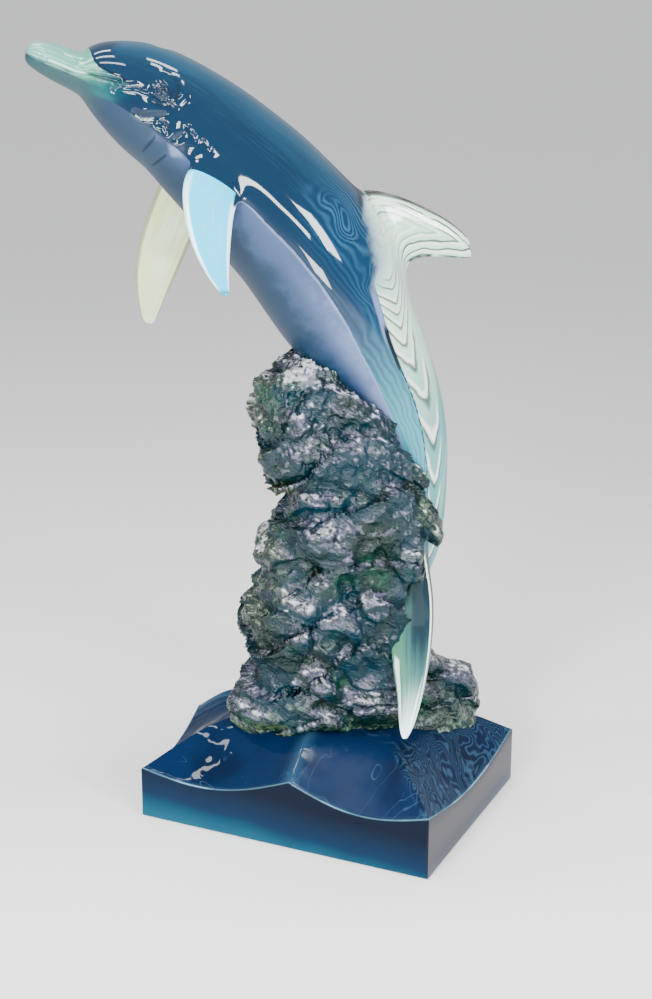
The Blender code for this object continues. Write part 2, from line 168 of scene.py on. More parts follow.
class Board:
    """The node tree of a material or of the surroundings."""

    def __init__(self, owner: Material | World) -> None:
        """Empties the owner's node tree.

        Args:
            owner: the new material or world.
        """
        owner.use_nodes = True
        self.owner = owner
        self.tree = owner.node_tree
        self.tree.nodes.clear()

    def node(self, kind: str, settings: dict[str, Any], sockets: dict[Any, Mixable]) -> Node:
        """Adds one node.

        Args:
            kind: the node's type.
            settings: its settings, or a ramp's stops under "stops".
            sockets: values or links of its inputs, by name or number.

        Returns:
            The node.
        """
        made = self.tree.nodes.new(kind)
        for setting, value in settings.items():
            if setting == "stops":
                self.set_stops(made.color_ramp, value)
            else:
                setattr(made, setting, value)
        for key, value in sockets.items():
            source = value.socket if isinstance(value, Shade) else value
            if isinstance(source, NodeSocket):
                self.tree.links.new(source, made.inputs[key])
            else:
                made.inputs[key].default_value = source
        return made

    @staticmethod
    def set_stops(ramp: ColorRamp, stops: Stops) -> None:
        """Gives a ramp its stops.

        Args:
            ramp: the ramp.
            stops: each stop's place, from 0 to 1, and its colour.
        """
        while len(ramp.elements) < len(stops):
            ramp.elements.new(1.0)
        for element, (place, colour) in zip(ramp.elements, stops):
            element.position = place
            element.color = (*colour, 1.0)

    def attribute(self, name: str) -> Shade:
        """Reads one of the piece's own attributes."""
        made = self.node("ShaderNodeAttribute", {"attribute_name": name}, {})
        return Shade(self, made.outputs["Fac"])

    def attributes(self, *names: str) -> tuple[Shade, ...]:
        """Reads several of the piece's own attributes."""
        return tuple(self.attribute(name) for name in names)

    def place(self) -> NodeSocket:
        """The place on the piece, in metres."""
        return self.node("ShaderNodeTexCoord", {}, {}).outputs["Object"]

    def axes(self) -> tuple[Shade, Shade, Shade]:
        """The place's three numbers."""
        made = self.node("ShaderNodeSeparateXYZ", {}, {0: self.place()})
        return tuple(Shade(self, socket) for socket in made.outputs)

    def point(self, x: Mixable, y: Mixable, z: Mixable) -> NodeSocket:
        """A place made of three numbers."""
        return self.node("ShaderNodeCombineXYZ", {}, {0: x, 1: y, 2: z}).outputs[0]

    def cloud(self, scale: float, detail: float = 2.0, place: NodeSocket | None = None,
              warp: float = 0.0) -> Shade:
        """Soft noise around 0.

        Args:
            scale: lumps in a metre, or in a unit of the place.
            detail: how many finer layers it has.
            place: where it is read, which is the place on the piece unless given.
            warp: how much it folds over itself.

        Returns:
            The noise, from about -0.3 to 0.3.
        """
        made = self.node("ShaderNodeTexNoise", {}, {"Vector": place or self.place(), "Scale": scale,
                                                    "Detail": detail, "Distortion": warp})
        return Shade(self, made.outputs[0]) - 0.5

    def blend(self, share: Mixable, first: Mixable, second: Mixable) -> NodeSocket:
        """Blends two colours.

        Args:
            share: 0 for the first and 1 for the second.
            first: a colour or a link to one.
            second: a colour or a link to one.

        Returns:
            The blended colour.
        """
        first = (*first, 1.0) if isinstance(first, tuple) else first
        second = (*second, 1.0) if isinstance(second, tuple) else second
        made = self.node("ShaderNodeMix", {"data_type": "RGBA"}, {0: share, 6: first, 7: second})
        return made.outputs[2]

    def coats(self, colour: Mixable, *coats: tuple[Mixable, Mixable]) -> NodeSocket:
        """Lays coats over a colour, one after the other.

        Args:
            colour: the colour under them.
            coats: each coat's share, which is 1 where it covers, and its colour.

        Returns:
            The colour that shows.
        """
        for share, coat in coats:
            colour = self.blend(share, colour, coat)
        return colour

    def ramp(self, value: Mixable, stops: Stops) -> NodeSocket:
        """Looks a number up on a row of colours."""
        return self.node("ShaderNodeValToRGB", {"stops": stops}, {0: value}).outputs[0]

    def bump(self, height: Shade, depth: float) -> NodeSocket:
        """Turns a height into a normal.

        Args:
            height: the height, from 0 to 1.
            depth: what a height of 1 stands for, in metres.

        Returns:
            The normal.
        """
        return self.node("ShaderNodeBump", {}, {"Height": height, "Distance": depth}).outputs[0]

    def acrylic(self, colour: Mixable, **sockets: Mixable) -> NodeSocket:
        """A Principled surface.

        Args:
            colour: its colour, or a link to one.
            sockets: its other inputs, with _ for each space in their names.

        Returns:
            The surface.
        """
        inputs = {name.replace("_", " "): value for name, value in sockets.items()}
        inputs["Base Color"] = (*colour, 1.0) if isinstance(colour, tuple) else colour
        return self.node("ShaderNodeBsdfPrincipled", {}, inputs).outputs[0]

    def mixed(self, share: Shade, first: NodeSocket, second: NodeSocket) -> NodeSocket:
        """Mixes two surfaces by a share."""
        return self.node("ShaderNodeMixShader", {}, {0: share, 1: first, 2: second}).outputs[0]

    def finish(self, surface: NodeSocket) -> Material:
        """Ends the material with its surface."""
        self.node("ShaderNodeOutputMaterial", {}, {"Surface": surface})
        return self.owner


class FinKind(Enum):
    """The kinds of fin, each with the attribute that marks it."""

    DORSAL = "dorsal"
    NEAR = "near_fin"
    FAR = "far_fin"
    FLUKE = "fluke"


@dataclass(frozen=True)
class BodyMap:
    """A board and what it reads from the dolphin's body.

    along is the ring's number from the beak's tip, and around runs from 0 on the back to 1 on the belly.
    belly and bare are how far a spot is past each of those paint lines, as a share of the way around, and
    open_skin is 1 where the acrylic is left bare.
    """

    board: Board
    along: Shade
    around: Shade
    belly: Shade
    bare: Shade
    open_skin: Shade


@dataclass(frozen=True)
class DolphinFinish:
    """Deep blue gloss and matte lavender on clear acrylic, left bare along the tail's back and in the fins.

    Besides those in the body's map, the attributes are crease, how far a spot is below the line between
    forehead and cheek; layer, which counts the casting's layers, and knot, 1 on its eye; bend, which counts
    the bends of the layers in the clear strip, and aside, 1 at the reach of each bend's arms; fold, lip and
    pupil, 1 in a wrinkle, on the mouth's line and on the eye; one for each kind of fin, 1 on that fin; and
    span and chord, a fin's shares from root to tip and from front to back.
    """

    navy: Colour = screen(6, 34, 56)
    back_blue: Colour = screen(22, 66, 90)
    streak: Colour = screen(44, 90, 114)
    grain_light: Colour = screen(48, 96, 126)
    grain_dark: Colour = screen(5, 40, 68)
    turquoise: Colour = screen(54, 128, 144)
    pale_turquoise: Colour = screen(62, 150, 156)
    lavender: Colour = screen(48, 68, 102)
    belly_low_and_painted_shade: Colour = screen(2, 38, 62)
    throat: Colour = screen(16, 44, 66)
    chalk: Colour = screen(112, 126, 166)
    mint: Colour = screen(188, 234, 208)
    mint_line: Colour = screen(8, 48, 44)
    mint_light: Colour = screen(244, 254, 244)
    beak: Colour = screen(88, 146, 140)
    beak_root: Colour = screen(66, 138, 114)
    beak_low: Colour = screen(32, 66, 70)
    jaw: Colour = screen(16, 80, 84)
    dark: Colour = screen(4, 20, 32)
    seam: Colour = screen(52, 46, 48)
    near_fin: Colour = screen(0, 196, 240)
    near_rim_and_highlight: Colour = screen(226, 252, 254)
    far_fin: Colour = screen(202, 220, 164)
    far_rim: Colour = screen(116, 104, 88)
    fluke: Colour = screen(76, 130, 124)
    fluke_tip: Colour = screen(232, 254, 255)
    fluke_shade: Colour = screen(8, 28, 44)
    fluke_green: Colour = screen(70, 120, 92)
    milk: Colour = screen(130, 164, 196)
    glass: Colour = screen(224, 242, 232)
    clearness: float = 0.30
    peel_depth: float = 0.0007

    def make(self) -> Material:
        """Builds the material from the body's and the fins' attributes.

        Returns:
            The finished material.
        """
        board = Board(bpy.data.materials.new("painted and clear acrylic"))
        along, around, belly, bare = board.attributes("along", "around", "belly", "bare")
        worn = along.step(16.6, 15.6)
        ragged = (bare + board.cloud(60.0, 3.0) * 0.06).step(-0.055, 0.045)
        open_skin = bare.step(-0.003, 0.003) * (1.0 - worn) + worn * along.step(13.9, 14.3) * ragged
        body_map = BodyMap(board, along, around, belly, bare, open_skin)
        body = self.gloss(body_map)
        for paint in (self.matte, self.clear, self.head):
            body = paint(body_map, body)
        seam = around.step(0.034, 0.012) * along.step(4.6, 6.0)
        body = board.blend(seam * 0.8, body, self.seam)
        colour, clear = self.fins(board, body, open_skin)
        matte = belly.step(-0.004, 0.004) * board.attribute(FinKind.DORSAL.value).step(0.5, 0.2)
        peel = board.cloud(14.0, 1.0) + matte * board.cloud(130.0, 2.0) * 0.12
        rough = 0.035 + matte * 0.42 + around.step(0.12, 0.06) * 0.30 * (1.0 - open_skin)
        solid = board.acrylic(colour, Roughness=rough, IOR=ACRYLIC_IOR, Specular_IOR_Level=0.36,
                              Normal=board.bump(peel, self.peel_depth))
        glass = board.acrylic(self.glass, Roughness=0.04, IOR=ACRYLIC_IOR, Transmission_Weight=1.0)
        return board.finish(board.mixed(clear * self.clearness, solid, glass))

    def gloss(self, on: BodyMap) -> NodeSocket:
        """The glossy blue of the head, the back and the flanks, grained towards the tail, with painted shade
        low on the tail's flank.

        Args:
            on: the body's map.

        Returns:
            The colour.
        """
        board, along, around = on.board, on.along, on.around
        fine = board.cloud(1.0, 3.0, board.point(along * 0.9, around * 95.0, 0.0))
        wide = board.cloud(1.0, 2.0, board.point(along * 0.35, around * 13.0, 4.0))
        front = board.coats(
            self.back_blue,
            ((around + wide * 0.25).step(0.06, 0.36), self.navy),
            ((fine + wide * 0.6).step(0.0, 0.34) * around.step(0.55, 0.20) * 0.22, self.streak),
            ((along + wide).step(5.95, 5.45) * 0.9, self.navy),
        )

        low = along.step(16.6, 20.5)
        light = board.blend(low, self.grain_light, self.pale_turquoise)
        layer = board.attribute("layer") * 1.25 + board.cloud(22.0, 3.0) * 1.5
        strength = 0.34 + board.attribute("knot") * 0.22 + wide
        run = around * 26.0 + board.cloud(1.0, 2.0, board.point(along * 0.8, around * 5.0, 7.0)) * 4.0
        drape = along.step(15.6, 17.6)
        rear = board.coats(
            board.blend(low, self.grain_dark, self.turquoise),
            (layer.lines(0.42) * strength * (1.0 - drape), light),
            ((layer + 0.5).lines(0.10) * 0.25 * (1.0 - drape), self.grain_dark),
            (run.lines(0.40) * drape * 0.40, light),
            ((run + 0.45).lines(0.16) * drape * 0.35, self.grain_dark),
            # Painted shade: navy on the lower flank ahead of the tail, where it turns under
            (around.step(0.36, 0.52) * along.step(17.5, 15.0) * 0.8, self.navy),
        )
        return board.blend((along + wide * 2.0).step(12.4, 14.4), front, rear)

    def matte(self, on: BodyMap, body: NodeSocket) -> NodeSocket:
        """The matte lavender of the throat and belly, below its paint line, darker low down from its paint
        and from painted shade.

        Args:
            on: the body's map.
            body: the colour under it.

        Returns:
            The colour.
        """
        board, along, around, belly = on.board, on.along, on.around, on.belly
        mottle = board.cloud(26.0, 4.0) + board.cloud(110.0, 3.0) * 0.35
        pale = (mottle * 0.5 + along.step(12.0, 19.0) * 0.24).step(0.00, 0.34) * belly.step(0.16, 0.01)
        from_patch = abs(along - 9.25) * 1.6 + abs(around - 0.645) * 18.0
        edge = belly.band(0.000, 0.010, 0.004) * along.step(10.5, 11.5)
        colour = board.coats(
            self.lavender,
            # Darker on the belly's lower side: partly its own paint and partly painted shade
            ((around + mottle * 0.25).step(0.60, 0.80), self.belly_low_and_painted_shade),
            (along.step(9.6, 8.6) * 0.9, self.throat),
            (pale * 0.6, self.chalk),
            ((from_patch + mottle).step(1.0, 0.2) * 0.7, self.chalk),
            ((along + mottle * 2.0).step(6.2, 4.0), self.beak_low),
            (edge * 0.6, self.chalk),
        )
        rough_edge = board.cloud(90.0, 3.0) * 0.012
        return board.blend((belly + rough_edge).step(-0.002, 0.002), body, colour)

    def clear(self, on: BodyMap, body: NodeSocket) -> NodeSocket:
        """The bare pale acrylic along the tail's back, with the lines of its layers and its dark border.

        Args:
            on: the body's map.
            body: the colour under it.

        Returns:
            The colour.
        """
        board, along, around, bare = on.board, on.along, on.around, on.bare
        bend = board.attribute("bend") + board.cloud(30.0, 2.0) * 0.5
        steps = bend.math("SINE", bend.math("FLOOR", bend) * 2.3) * 0.5 + 0.5
        lined = along.step(15.9, 16.5) * board.attribute("aside").step(1.5, 0.9)
        wool = board.cloud(120.0, 3.0, warp=0.6).step(0.02, 0.10) * 0.4
        mint = board.coats(
            self.mint,
            (steps * 0.35, self.mint_light),
            (along.step(17.5, 20.5) * (1.0 - steps * 0.25) * 0.95, self.pale_turquoise),
            (bend.lines(0.26) * lined * 0.95, self.mint_line),
            ((bend + 0.20).lines(0.26) * lined, self.mint_light),
            (along.step(16.4, 14.9) * 0.6, board.blend(wool, self.mint_light, self.mint_line)),
            (bare.step(0.15, 0.0) * along.step(16.8, 15.8) * 0.7, self.milk),
        )
        band = bare.band(-0.034, -0.004, 0.006) * along.band(16.2, 17.7, 0.4)
        dashes = board.cloud(1.0, 1.0, board.point(along * 5.0, 0.0, 0.0)).step(-0.08, 0.02)
        thick = bare.band(-0.020, 0.004, 0.004) * along.band(17.3, 18.5, 0.15)
        thin = bare.band(-0.009, 0.002, 0.003) * along.step(18.3, 18.6) * (0.15 + dashes * 0.85)
        notch = bare.band(-0.09, 0.0, 0.02) * along.band(13.0, 14.35, 0.35) * around.step(0.20, 0.13)
        return board.coats(
            body,
            (on.open_skin, mint),
            (band * 0.75, self.chalk),
            (thick.highest(thin), self.dark),
            (notch * 0.9, self.dark),
        )

    def head(self, on: BodyMap, body: NodeSocket) -> NodeSocket:
        """The pale beak, the green jaw below the crease, the mouth and the eyes, with painted highlights on
        the beak and the mouth's front and painted shade in the crease, the mouth's groove and the wrinkles.

        Args:
            on: the body's map.
            body: the colour under it.

        Returns:
            The colour.
        """
        board, along, around = on.board, on.along, on.around
        crease, fold, lip, pupil = board.attributes("crease", "fold", "lip", "pupil")
        cloudy = board.cloud(30.0, 3.0)
        streaks = board.cloud(1.0, 2.0, board.point(along * 0.5, around * 60.0, 2.0))
        below = crease.step(-0.004, 0.006)
        beak = board.coats(
            self.beak,
            (along.step(1.0, 5.0), self.beak_root),
            # Painted highlights: pale streaks along the beak
            (streaks.step(0.04, 0.24) * 0.55, self.mint_light),
            ((around + cloudy * 0.2).step(0.48, 0.60), self.beak_low),
        )
        line = crease.band(-0.016, 0.004, 0.006) * along.band(4.3, 6.6, 0.3)
        return board.coats(
            body,
            ((along + cloudy * 1.2).step(7.0, 5.3) * below * on.belly.step(0.006, -0.006), self.jaw),
            ((along + cloudy * 0.8).step(5.9, 4.4) * below, beak),
            # Painted shade: dark along the crease where beak meets forehead
            (line * 0.85, self.dark),
            # Painted shade: dark in the wrinkles around the eyes and the creases of cheek and throat
            (fold * 0.75, self.dark),
            # Painted reflection: a pale line along the front of the mouth
            (lip * along.step(4.6, 3.6) * 0.6, self.mint_light),
            # Painted shade: dark in the mouth's groove behind its pale front
            (lip * along.step(3.8, 4.8) * 0.85, self.dark),
            (pupil * 0.9, self.dark),
        )

    def fins(self, board: Board, body: NodeSocket, open_skin: Shade) -> tuple[NodeSocket, Shade]:
        """Colours the fins over the body.

        Args:
            board: the material's board.
            body: the body's colour.
            open_skin: where the body is left clear.

        Returns:
            The colour, and how clear the surface is from 0 to 1.
        """
        span, chord = board.attributes("span", "chord")
        dorsal, near, far, fluke = board.attributes(*(kind.value for kind in FinKind))
        off_middle = abs(chord - 0.5) * 2.0
        warp = board.cloud(20.0, 2.0)
        streaks = board.cloud(1.0, 2.0, board.point(chord * 9.0, span * 1.2, 0.0))

        inward = (1.0 - off_middle) * (1.0 - span * 0.8)
        layer = inward * 6.5 + warp * 1.4
        rim = chord.step(0.07, 0.02) * span.step(0.08, 0.16)
        # Painted highlight: a pale patch of glare low on the fin's front
        painted_glare = chord.band(0.09, 0.20, 0.03) * span.band(0.10, 0.42, 0.08)
        clear_fin = board.coats(
            self.mint,
            (layer.lines(0.26) * inward.step(0.62, 0.36), self.mint_line),
            ((layer + 0.24).lines(0.24) * 0.9, self.mint_light),
            (rim * 0.9, self.seam),
            (painted_glare * 0.85, self.mint_light),
        )
        near_fin = board.coats(
            self.near_fin,
            (streaks.step(0.0, 0.25) * 0.08, self.near_rim_and_highlight),
            # Lighter rims: partly the fin's pale edge and partly a painted highlight
            (off_middle.step(0.78, 0.99) * span.step(0.10, 0.35) * 0.75, self.near_rim_and_highlight),
            (span.step(0.93, 0.99) * 0.6, self.mint_line),
        )
        far_fin = board.coats(
            self.far_fin,
            ((streaks + warp).step(-0.1, 0.25) * 0.3, self.mint_light),
            (off_middle.step(0.975, 0.998) * 0.7, self.far_rim),
        )
        shaded = (span + streaks * 0.3).step(0.80, 0.42) * (chord + streaks * 0.3).step(0.90, 0.40)
        pale_fluke = board.coats(
            self.fluke,
            ((span + streaks * 0.2).step(0.62, 0.92), self.fluke_tip),
            (chord.step(0.50, 0.90) * span.step(0.95, 0.55) * 0.8, self.fluke_green),
            (shaded * 0.95, self.fluke_shade),
            (chord.band(0.012, 0.07, 0.02), self.mint_light),
        )

        dorsal = dorsal.step(0.10, 0.60)
        near = near.step(0.72, 0.78) * (chord - span * 0.9).step(0.72, 0.66)
        far = far.step(0.52, 0.58)
        fluke = fluke.step(0.25, 0.65)
        colour = board.coats(body, (dorsal, clear_fin), (near, near_fin), (far, far_fin), (fluke, pale_fluke))
        clear = open_skin.highest(dorsal) + far * 0.7 + fluke * 0.35 + near * 0.12
        return colour, clear.lowest(1.0)


@dataclass(frozen=True)
class RockFinish:
    """Dark green clear acrylic with light and shade painted by how its skin faces: a grey-violet painted sky
    reflection on ribs that face up, its own deep blue-green with painted shade where it faces down and in its
    hollows and creases, near-white painted glints, and a painted glow where thin.

    The attributes are proud, from 0 in a hollow to 1 on a rib, wrinkle, from 0 in a crease to 1 on a fine
    fold, lit, where the skin faces up towards the light that is painted, thin and glow, where light comes
    through and a painted glow stands for it, pane, on the one flat chip of its upper lobe, which gets a
    painted reflection, and foot, near the slab. heading and slant are the cosine and sine of the turn of the
    rock and of the slope of its folds, and folds is how many there are in a metre each way.
    """

    deep: Colour = screen(0, 26, 24)
    blue: Colour = screen(0, 38, 50)
    green: Colour = screen(6, 56, 42)
    lilac_painted_reflection: Colour = screen(74, 76, 94)
    sage: Colour = screen(60, 80, 76)
    silver_painted_glint: Colour = screen(216, 222, 230)
    khaki_painted_glow: Colour = screen(84, 92, 62)
    glow: Colour = screen(84, 96, 20)
    foot: Colour = screen(120, 150, 120)
    heading: Spot = (0.809, 0.588)
    slant: Spot = (0.88, 0.47)
    folds: Corner = (40.0, 95.0, 60.0)
    grit_depth: float = 0.0060

    def make(self) -> Material:
        """Builds the material from the rock's attributes.

        Returns:
            The finished material.
        """
        board = Board(bpy.data.materials.new("dark green clear acrylic"))
        proud, wrinkle, lit, thin, pane = board.attributes("proud", "wrinkle", "lit", "thin", "pane")
        creases = self.creases(board)
        fine = board.cloud(110.0, 4.0, warp=0.4)
        folded = wrinkle + fine
        # The dark colours: the acrylic's own deep green and blue, shown where the painted shade falls
        hollow = board.coats(
            self.deep,
            (board.cloud(9.0, 2.0).step(-0.10, 0.12), self.blue),
            ((board.cloud(13.0, 3.0) + fine * 0.3).step(0.06, 0.20) * 0.9, self.green),
            (folded.step(0.68, 1.0) * 0.30, self.sage),
        )
        # The ribs' colour: a painted sky reflection on skin that faces up
        rib = board.coats(
            self.lilac_painted_reflection,
            ((board.cloud(20.0, 2.0) + thin * 0.5).step(0.0, 0.2), self.sage),
            # Painted glow: pale olive where light comes through the thin edges
            (thin * 0.7, self.khaki_painted_glow),
            # Painted shade: dark lines in the creases and between the fine wrinkles
            ((creases + wrinkle * 0.06).step(0.085, 0.02) * 0.9, self.deep),
            ((wrinkle + fine * 0.6).step(0.30, 0.12) * 0.6, self.deep),
        )
        # Painted light and shade: how far the skin faces the light picks the ribs' painted reflection over
        # the dark painted shade, and the brightest spots get painted glints
        painted_light_tone = lit + thin * 0.12 + proud * 0.26 + (wrinkle - 0.5) * 0.20 + fine * 1.1 + creases * 0.8
        colour = board.coats(
            hollow,
            (painted_light_tone.step(0.62, 0.86), rib),
            # Painted highlights: near-white glints where the skin faces the light most
            (painted_light_tone.step(1.00, 1.30) * 0.75, self.silver_painted_glint),
            # Painted reflection: a pale sheen on the one flat chip
            ((pane + fine * 0.8 + creases * 0.3).step(0.50, 0.95) * 0.22, self.silver_painted_glint),
            (board.attribute("foot") * folded.step(0.2, 0.7) * 0.7, self.foot),
            # Painted glow: olive where light shines through under the lobe and at one corner near the slab
            (board.attribute("glow") * folded.step(0.1, 0.8), self.glow),
        )
        grit = board.cloud(190.0, 3.0) * 0.35 + creases
        surface = board.acrylic(colour, Roughness=0.07 + proud * 0.08, IOR=ACRYLIC_IOR,
                                Specular_IOR_Level=0.35, Transmission_Weight=0.10,
                                Normal=board.bump(grit, self.grit_depth))
        return board.finish(surface)

    def creases(self, board: Board) -> Shade:
        """Thin folds that slant down to the right.

        Args:
            board: the material's board.

        Returns:
            0 in the bottom of a crease, up to about 0.3 between creases.
        """
        x, y, z = board.axes()
        (ahead, aside), (level, steep) = self.heading, self.slant
        right = x * ahead + y * aside
        deep = x * aside - y * ahead
        down, up = right * level - z * steep, right * steep + z * level
        slanted = board.point(down * self.folds[0], up * self.folds[1], deep * self.folds[2])
        return abs(board.cloud(1.0, 3.0, slanted, warp=0.5))


@dataclass(frozen=True)
class BaseFinish:
    """Deep blue clear acrylic, painted paler where light runs through its lower edge, marbled in its right
    dish, with a dark purple-brown painted reflection on its right face and painted highlights on its crests
    and rim.

    The attributes are wall, 1 below the dishes, ridge, 1 on a crest, and edge, 1 on the rim of the dishes.
    """

    deep: Colour = screen(0, 9, 28)
    top: Colour = screen(2, 27, 58)
    middle: Colour = screen(2, 32, 58)
    teal: Colour = screen(10, 76, 96)
    swirl: Colour = screen(44, 76, 102)
    wisp: Colour = screen(64, 104, 130)
    mauve_painted_reflection: Colour = screen(30, 24, 40)
    edge: Colour = screen(130, 182, 206)
    swell_depth: float = 0.0045

    def make(self, half_length: float, half_width: float, dish_reach: float) -> Material:
        """Builds the material.

        Args:
            half_length: half the slab's long side.
            half_width: half the slab's short side.
            dish_reach: how far in from the edge a dish runs.

        Returns:
            The finished material.
        """
        board = Board(bpy.data.materials.new("deep blue clear acrylic"))
        x, y, z = board.axes()
        dish = 1.0 - board.attribute("wall")
        warp = board.cloud(10.0, 3.0)

        level = z + (x + half_length) * 0.06 + warp * 0.02 - 0.007
        side = x.step(half_length - 0.004, half_length - 0.001)
        # Painted reflection: dark purple-brown reflected from warm surroundings on the right face
        mauve_painted_reflection = side * (z + warp * 0.06).band(0.012, 0.085, 0.022)

        right = (x - half_length + dish_reach + warp * 0.1).step(0.0, 0.035) * (
            x - half_length - abs(y) + half_width).step(-0.018, 0.004)
        along_dish = board.point((x - y) * 5.0, (x + y) * 10.0, z * 9.0)
        marble = board.cloud(1.0, 2.0, along_dish, warp=0.8) * 24.0 + z * 40.0
        left = (-1.0 * x - half_length + dish_reach).step(0.0, 0.02) * y.step(-0.06, 0.0)
        turn = x.math("ARCTAN2", y + 0.02, -0.05 - x)
        stripes = (turn * 13.0 + board.cloud(22.0, 2.0) * 1.2).lines(0.30)
        wisps = (board.cloud(5.0, 3.0, warp=1.8) * 8.0).lines(0.045) * board.cloud(4.0, 1.0).step(-0.06, 0.06)
        glint = board.cloud(9.0, 2.0).step(-0.02, 0.14) * 0.5 + 0.35

        colour = board.coats(
            # Painted light: paler teal towards the bottom, where light comes in through the lower edge
            board.ramp(level * 9.0, ((0.02, self.teal), (0.34, self.middle), (0.82, self.deep))),
            (mauve_painted_reflection * 0.75, self.mauve_painted_reflection),
            (dish, self.top),
            (dish * warp.step(-0.05, 0.25) * 0.6, self.deep),
            (dish * right * 0.55, board.blend(marble.lines(0.30), self.deep, self.swirl)),
            (dish * left * stripes * 0.55, self.swirl),
            (wisps * dish * 0.24, self.wisp),
            # Painted highlight: paler lines along the crests between the dishes
            (board.attribute("ridge") * dish * 0.25, self.wisp),
            # Painted highlight: pale glints along the rim of the dishes
            (board.attribute("edge") * glint, self.edge),
        )
        rough = 0.04 + dish * x.step(0.01, 0.05) * 0.34
        surface = board.acrylic(colour, Roughness=rough, IOR=ACRYLIC_IOR, Specular_IOR_Level=0.13,
                                Normal=board.bump(board.cloud(16.0, 2.0) * dish, self.swell_depth))
        return board.finish(surface)


@dataclass(frozen=True)
class FloorFinish:
    """A plain pale floor."""

    colour: Colour = screen(248, 248, 248)

    def make(self) -> Material:
        """Builds the material."""
        board = Board(bpy.data.materials.new("pale floor"))
        return board.finish(board.acrylic(self.colour, Roughness=0.8))


class Slot(Enum):
    """The record's material slots."""

    DOLPHIN = "dolphin_acrylic"
    ROCK = "rock_acrylic"
    BASE = "base_acrylic"


def skin(rings: Rings) -> BMesh:
    """A closed skin through rings of equally many points, capped at both ends.

    Args:
        rings: the rings, in order.

    Returns:
        A bmesh whose faces carry their ring and column, and its vertices their ring and place in it.
    """
    sides = len(rings[0])
    made = bmesh.new()
    bmesh.ops.create_grid(made, x_segments=sides, y_segments=len(rings) - 1, size=1.0)
    ring_of = made.faces.layers.int.new("ring")
    column_of = made.faces.layers.int.new("column")
    row_of = made.verts.layers.float.new("row")
    side_of = made.verts.layers.float.new("side")
    made.verts.ensure_lookup_table()
    for face in made.faces:
        first = min(vert.index for vert in face.verts)
        face[ring_of] = first // (sides + 1)
        face[column_of] = first % (sides + 1)
    for vert in made.verts:
        ring = vert.index // (sides + 1)
        side = vert.index % (sides + 1) % sides
        vert.co = rings[ring][side]
        vert[row_of] = ring
        vert[side_of] = side
    bmesh.ops.remove_doubles(made, verts=made.verts, dist=WELD_DISTANCE)
    rim = [edge for edge in made.edges if edge.is_boundary]
    for face in bmesh.ops.holes_fill(made, edges=rim, sides=0)["faces"]:
        face[ring_of] = -1
    bmesh.ops.recalc_face_normals(made, faces=made.faces)
    return made


def add_object(name: str, made: BMesh) -> Object:
    """Puts a bmesh into the scene as an object.

    Args:
        name: the object's name.
        made: the bmesh, which is freed.

    Returns:
        The object.
    """
    mesh = bpy.data.meshes.new(name)
    made.to_mesh(mesh)
    made.free()
    thing = bpy.data.objects.new(name, mesh)
    bpy.context.scene.collection.objects.link(thing)
    return thing


def settle(thing: Object) -> None:
    """Applies an object's modifiers to its mesh.

    Args:
        thing: the object.
    """
    evaluated = thing.evaluated_get(bpy.context.evaluated_depsgraph_get())
    mesh = bpy.data.meshes.new_from_object(evaluated)
    thing.modifiers.clear()
    thing.data = mesh


def vectors(items: bpy.types.bpy_prop_collection, name: str) -> np.ndarray:
    """Reads a vector from each of a mesh's items.

    Args:
        items: the mesh's points or normals.
        name: the vector's name.

    Returns:
        Rows of three numbers.
    """
    found = np.empty(len(items) * 3, np.float32)
    items.foreach_get(name, found)
    return found.reshape(-1, 3).astype(float)


def places(mesh: Mesh) -> np.ndarray:
    """A mesh's points, as rows of three numbers."""
    return vectors(mesh.vertices, "co")


def directions(mesh: Mesh) -> np.ndarray:
    """A mesh's outward directions at its points, as rows of three numbers."""
    return vectors(mesh.vertex_normals, "vector")


def move_points(mesh: Mesh, found: np.ndarray) -> None:
    """Puts a mesh's points at new places."""
    mesh.vertices.foreach_set("co", found.astype(np.float32).ravel())
    mesh.update()


def read_attribute(mesh: Mesh, name: str) -> np.ndarray:
    """Reads the number that a mesh holds at each of its points.

    Args:
        mesh: the mesh.
        name: the number's name.

    Returns:
        One number for each point.
    """
    found = np.empty(len(mesh.vertices), np.float32)
    mesh.attributes[name].data.foreach_get("value", found)
    return found.astype(float)


def write_attribute(mesh: Mesh, name: str, values: np.ndarray) -> None:
    """Gives a mesh a number at each of its points, under a name."""
    made = mesh.attributes.get(name) or mesh.attributes.new(name, "FLOAT", "POINT")
    made.data.foreach_set("value", values.astype(np.float32))


def clamp(value: float) -> float:
    """Keeps a number between 0 and 1."""
    return min(max(value, 0.0), 1.0)


def bell(distance: np.ndarray, radius: float) -> np.ndarray:
    """A smooth bump that is 1 at no distance and fades past its radius."""
    return np.exp(-((distance / radius) ** 2))


def rise(values: np.ndarray, low: float, high: float) -> np.ndarray:
    """Runs smoothly from 0 to 1 as the values go from low to high, which may be below low."""
    share = np.clip((values - low) / (high - low), 0.0, 1.0)
    return share * share * (3.0 - 2.0 * share)


def follow(line: Line, values: np.ndarray) -> np.ndarray:
    """Reads a line, given as places and heights, at many values."""
    return np.interp(values, [spot for spot, _ in line], [height for _, height in line])


def away(spots: np.ndarray, spot: Spot) -> np.ndarray:
    """The distance in a plane from each of many spots to one."""
    return np.hypot(*(spots - np.array(spot)).T)


def path_distance(spots: np.ndarray, path: Line) -> np.ndarray:
    """The distance in a plane from each spot to a path of straight runs.

    Args:
        spots: rows of two numbers.
        path: the path's corners.

    Returns:
        One distance for each spot.
    """
    nearest = np.full(len(spots), 1.0)
    for start, end in zip(path, path[1:]):
        begin = np.array(start)
        run = np.array(end) - begin
        share = np.clip(((spots - begin) @ run) / (run @ run), 0.0, 1.0)
        gap = spots - begin - share[:, None] * run
        nearest = np.minimum(nearest, np.hypot(gap[:, 0], gap[:, 1]))
    return nearest


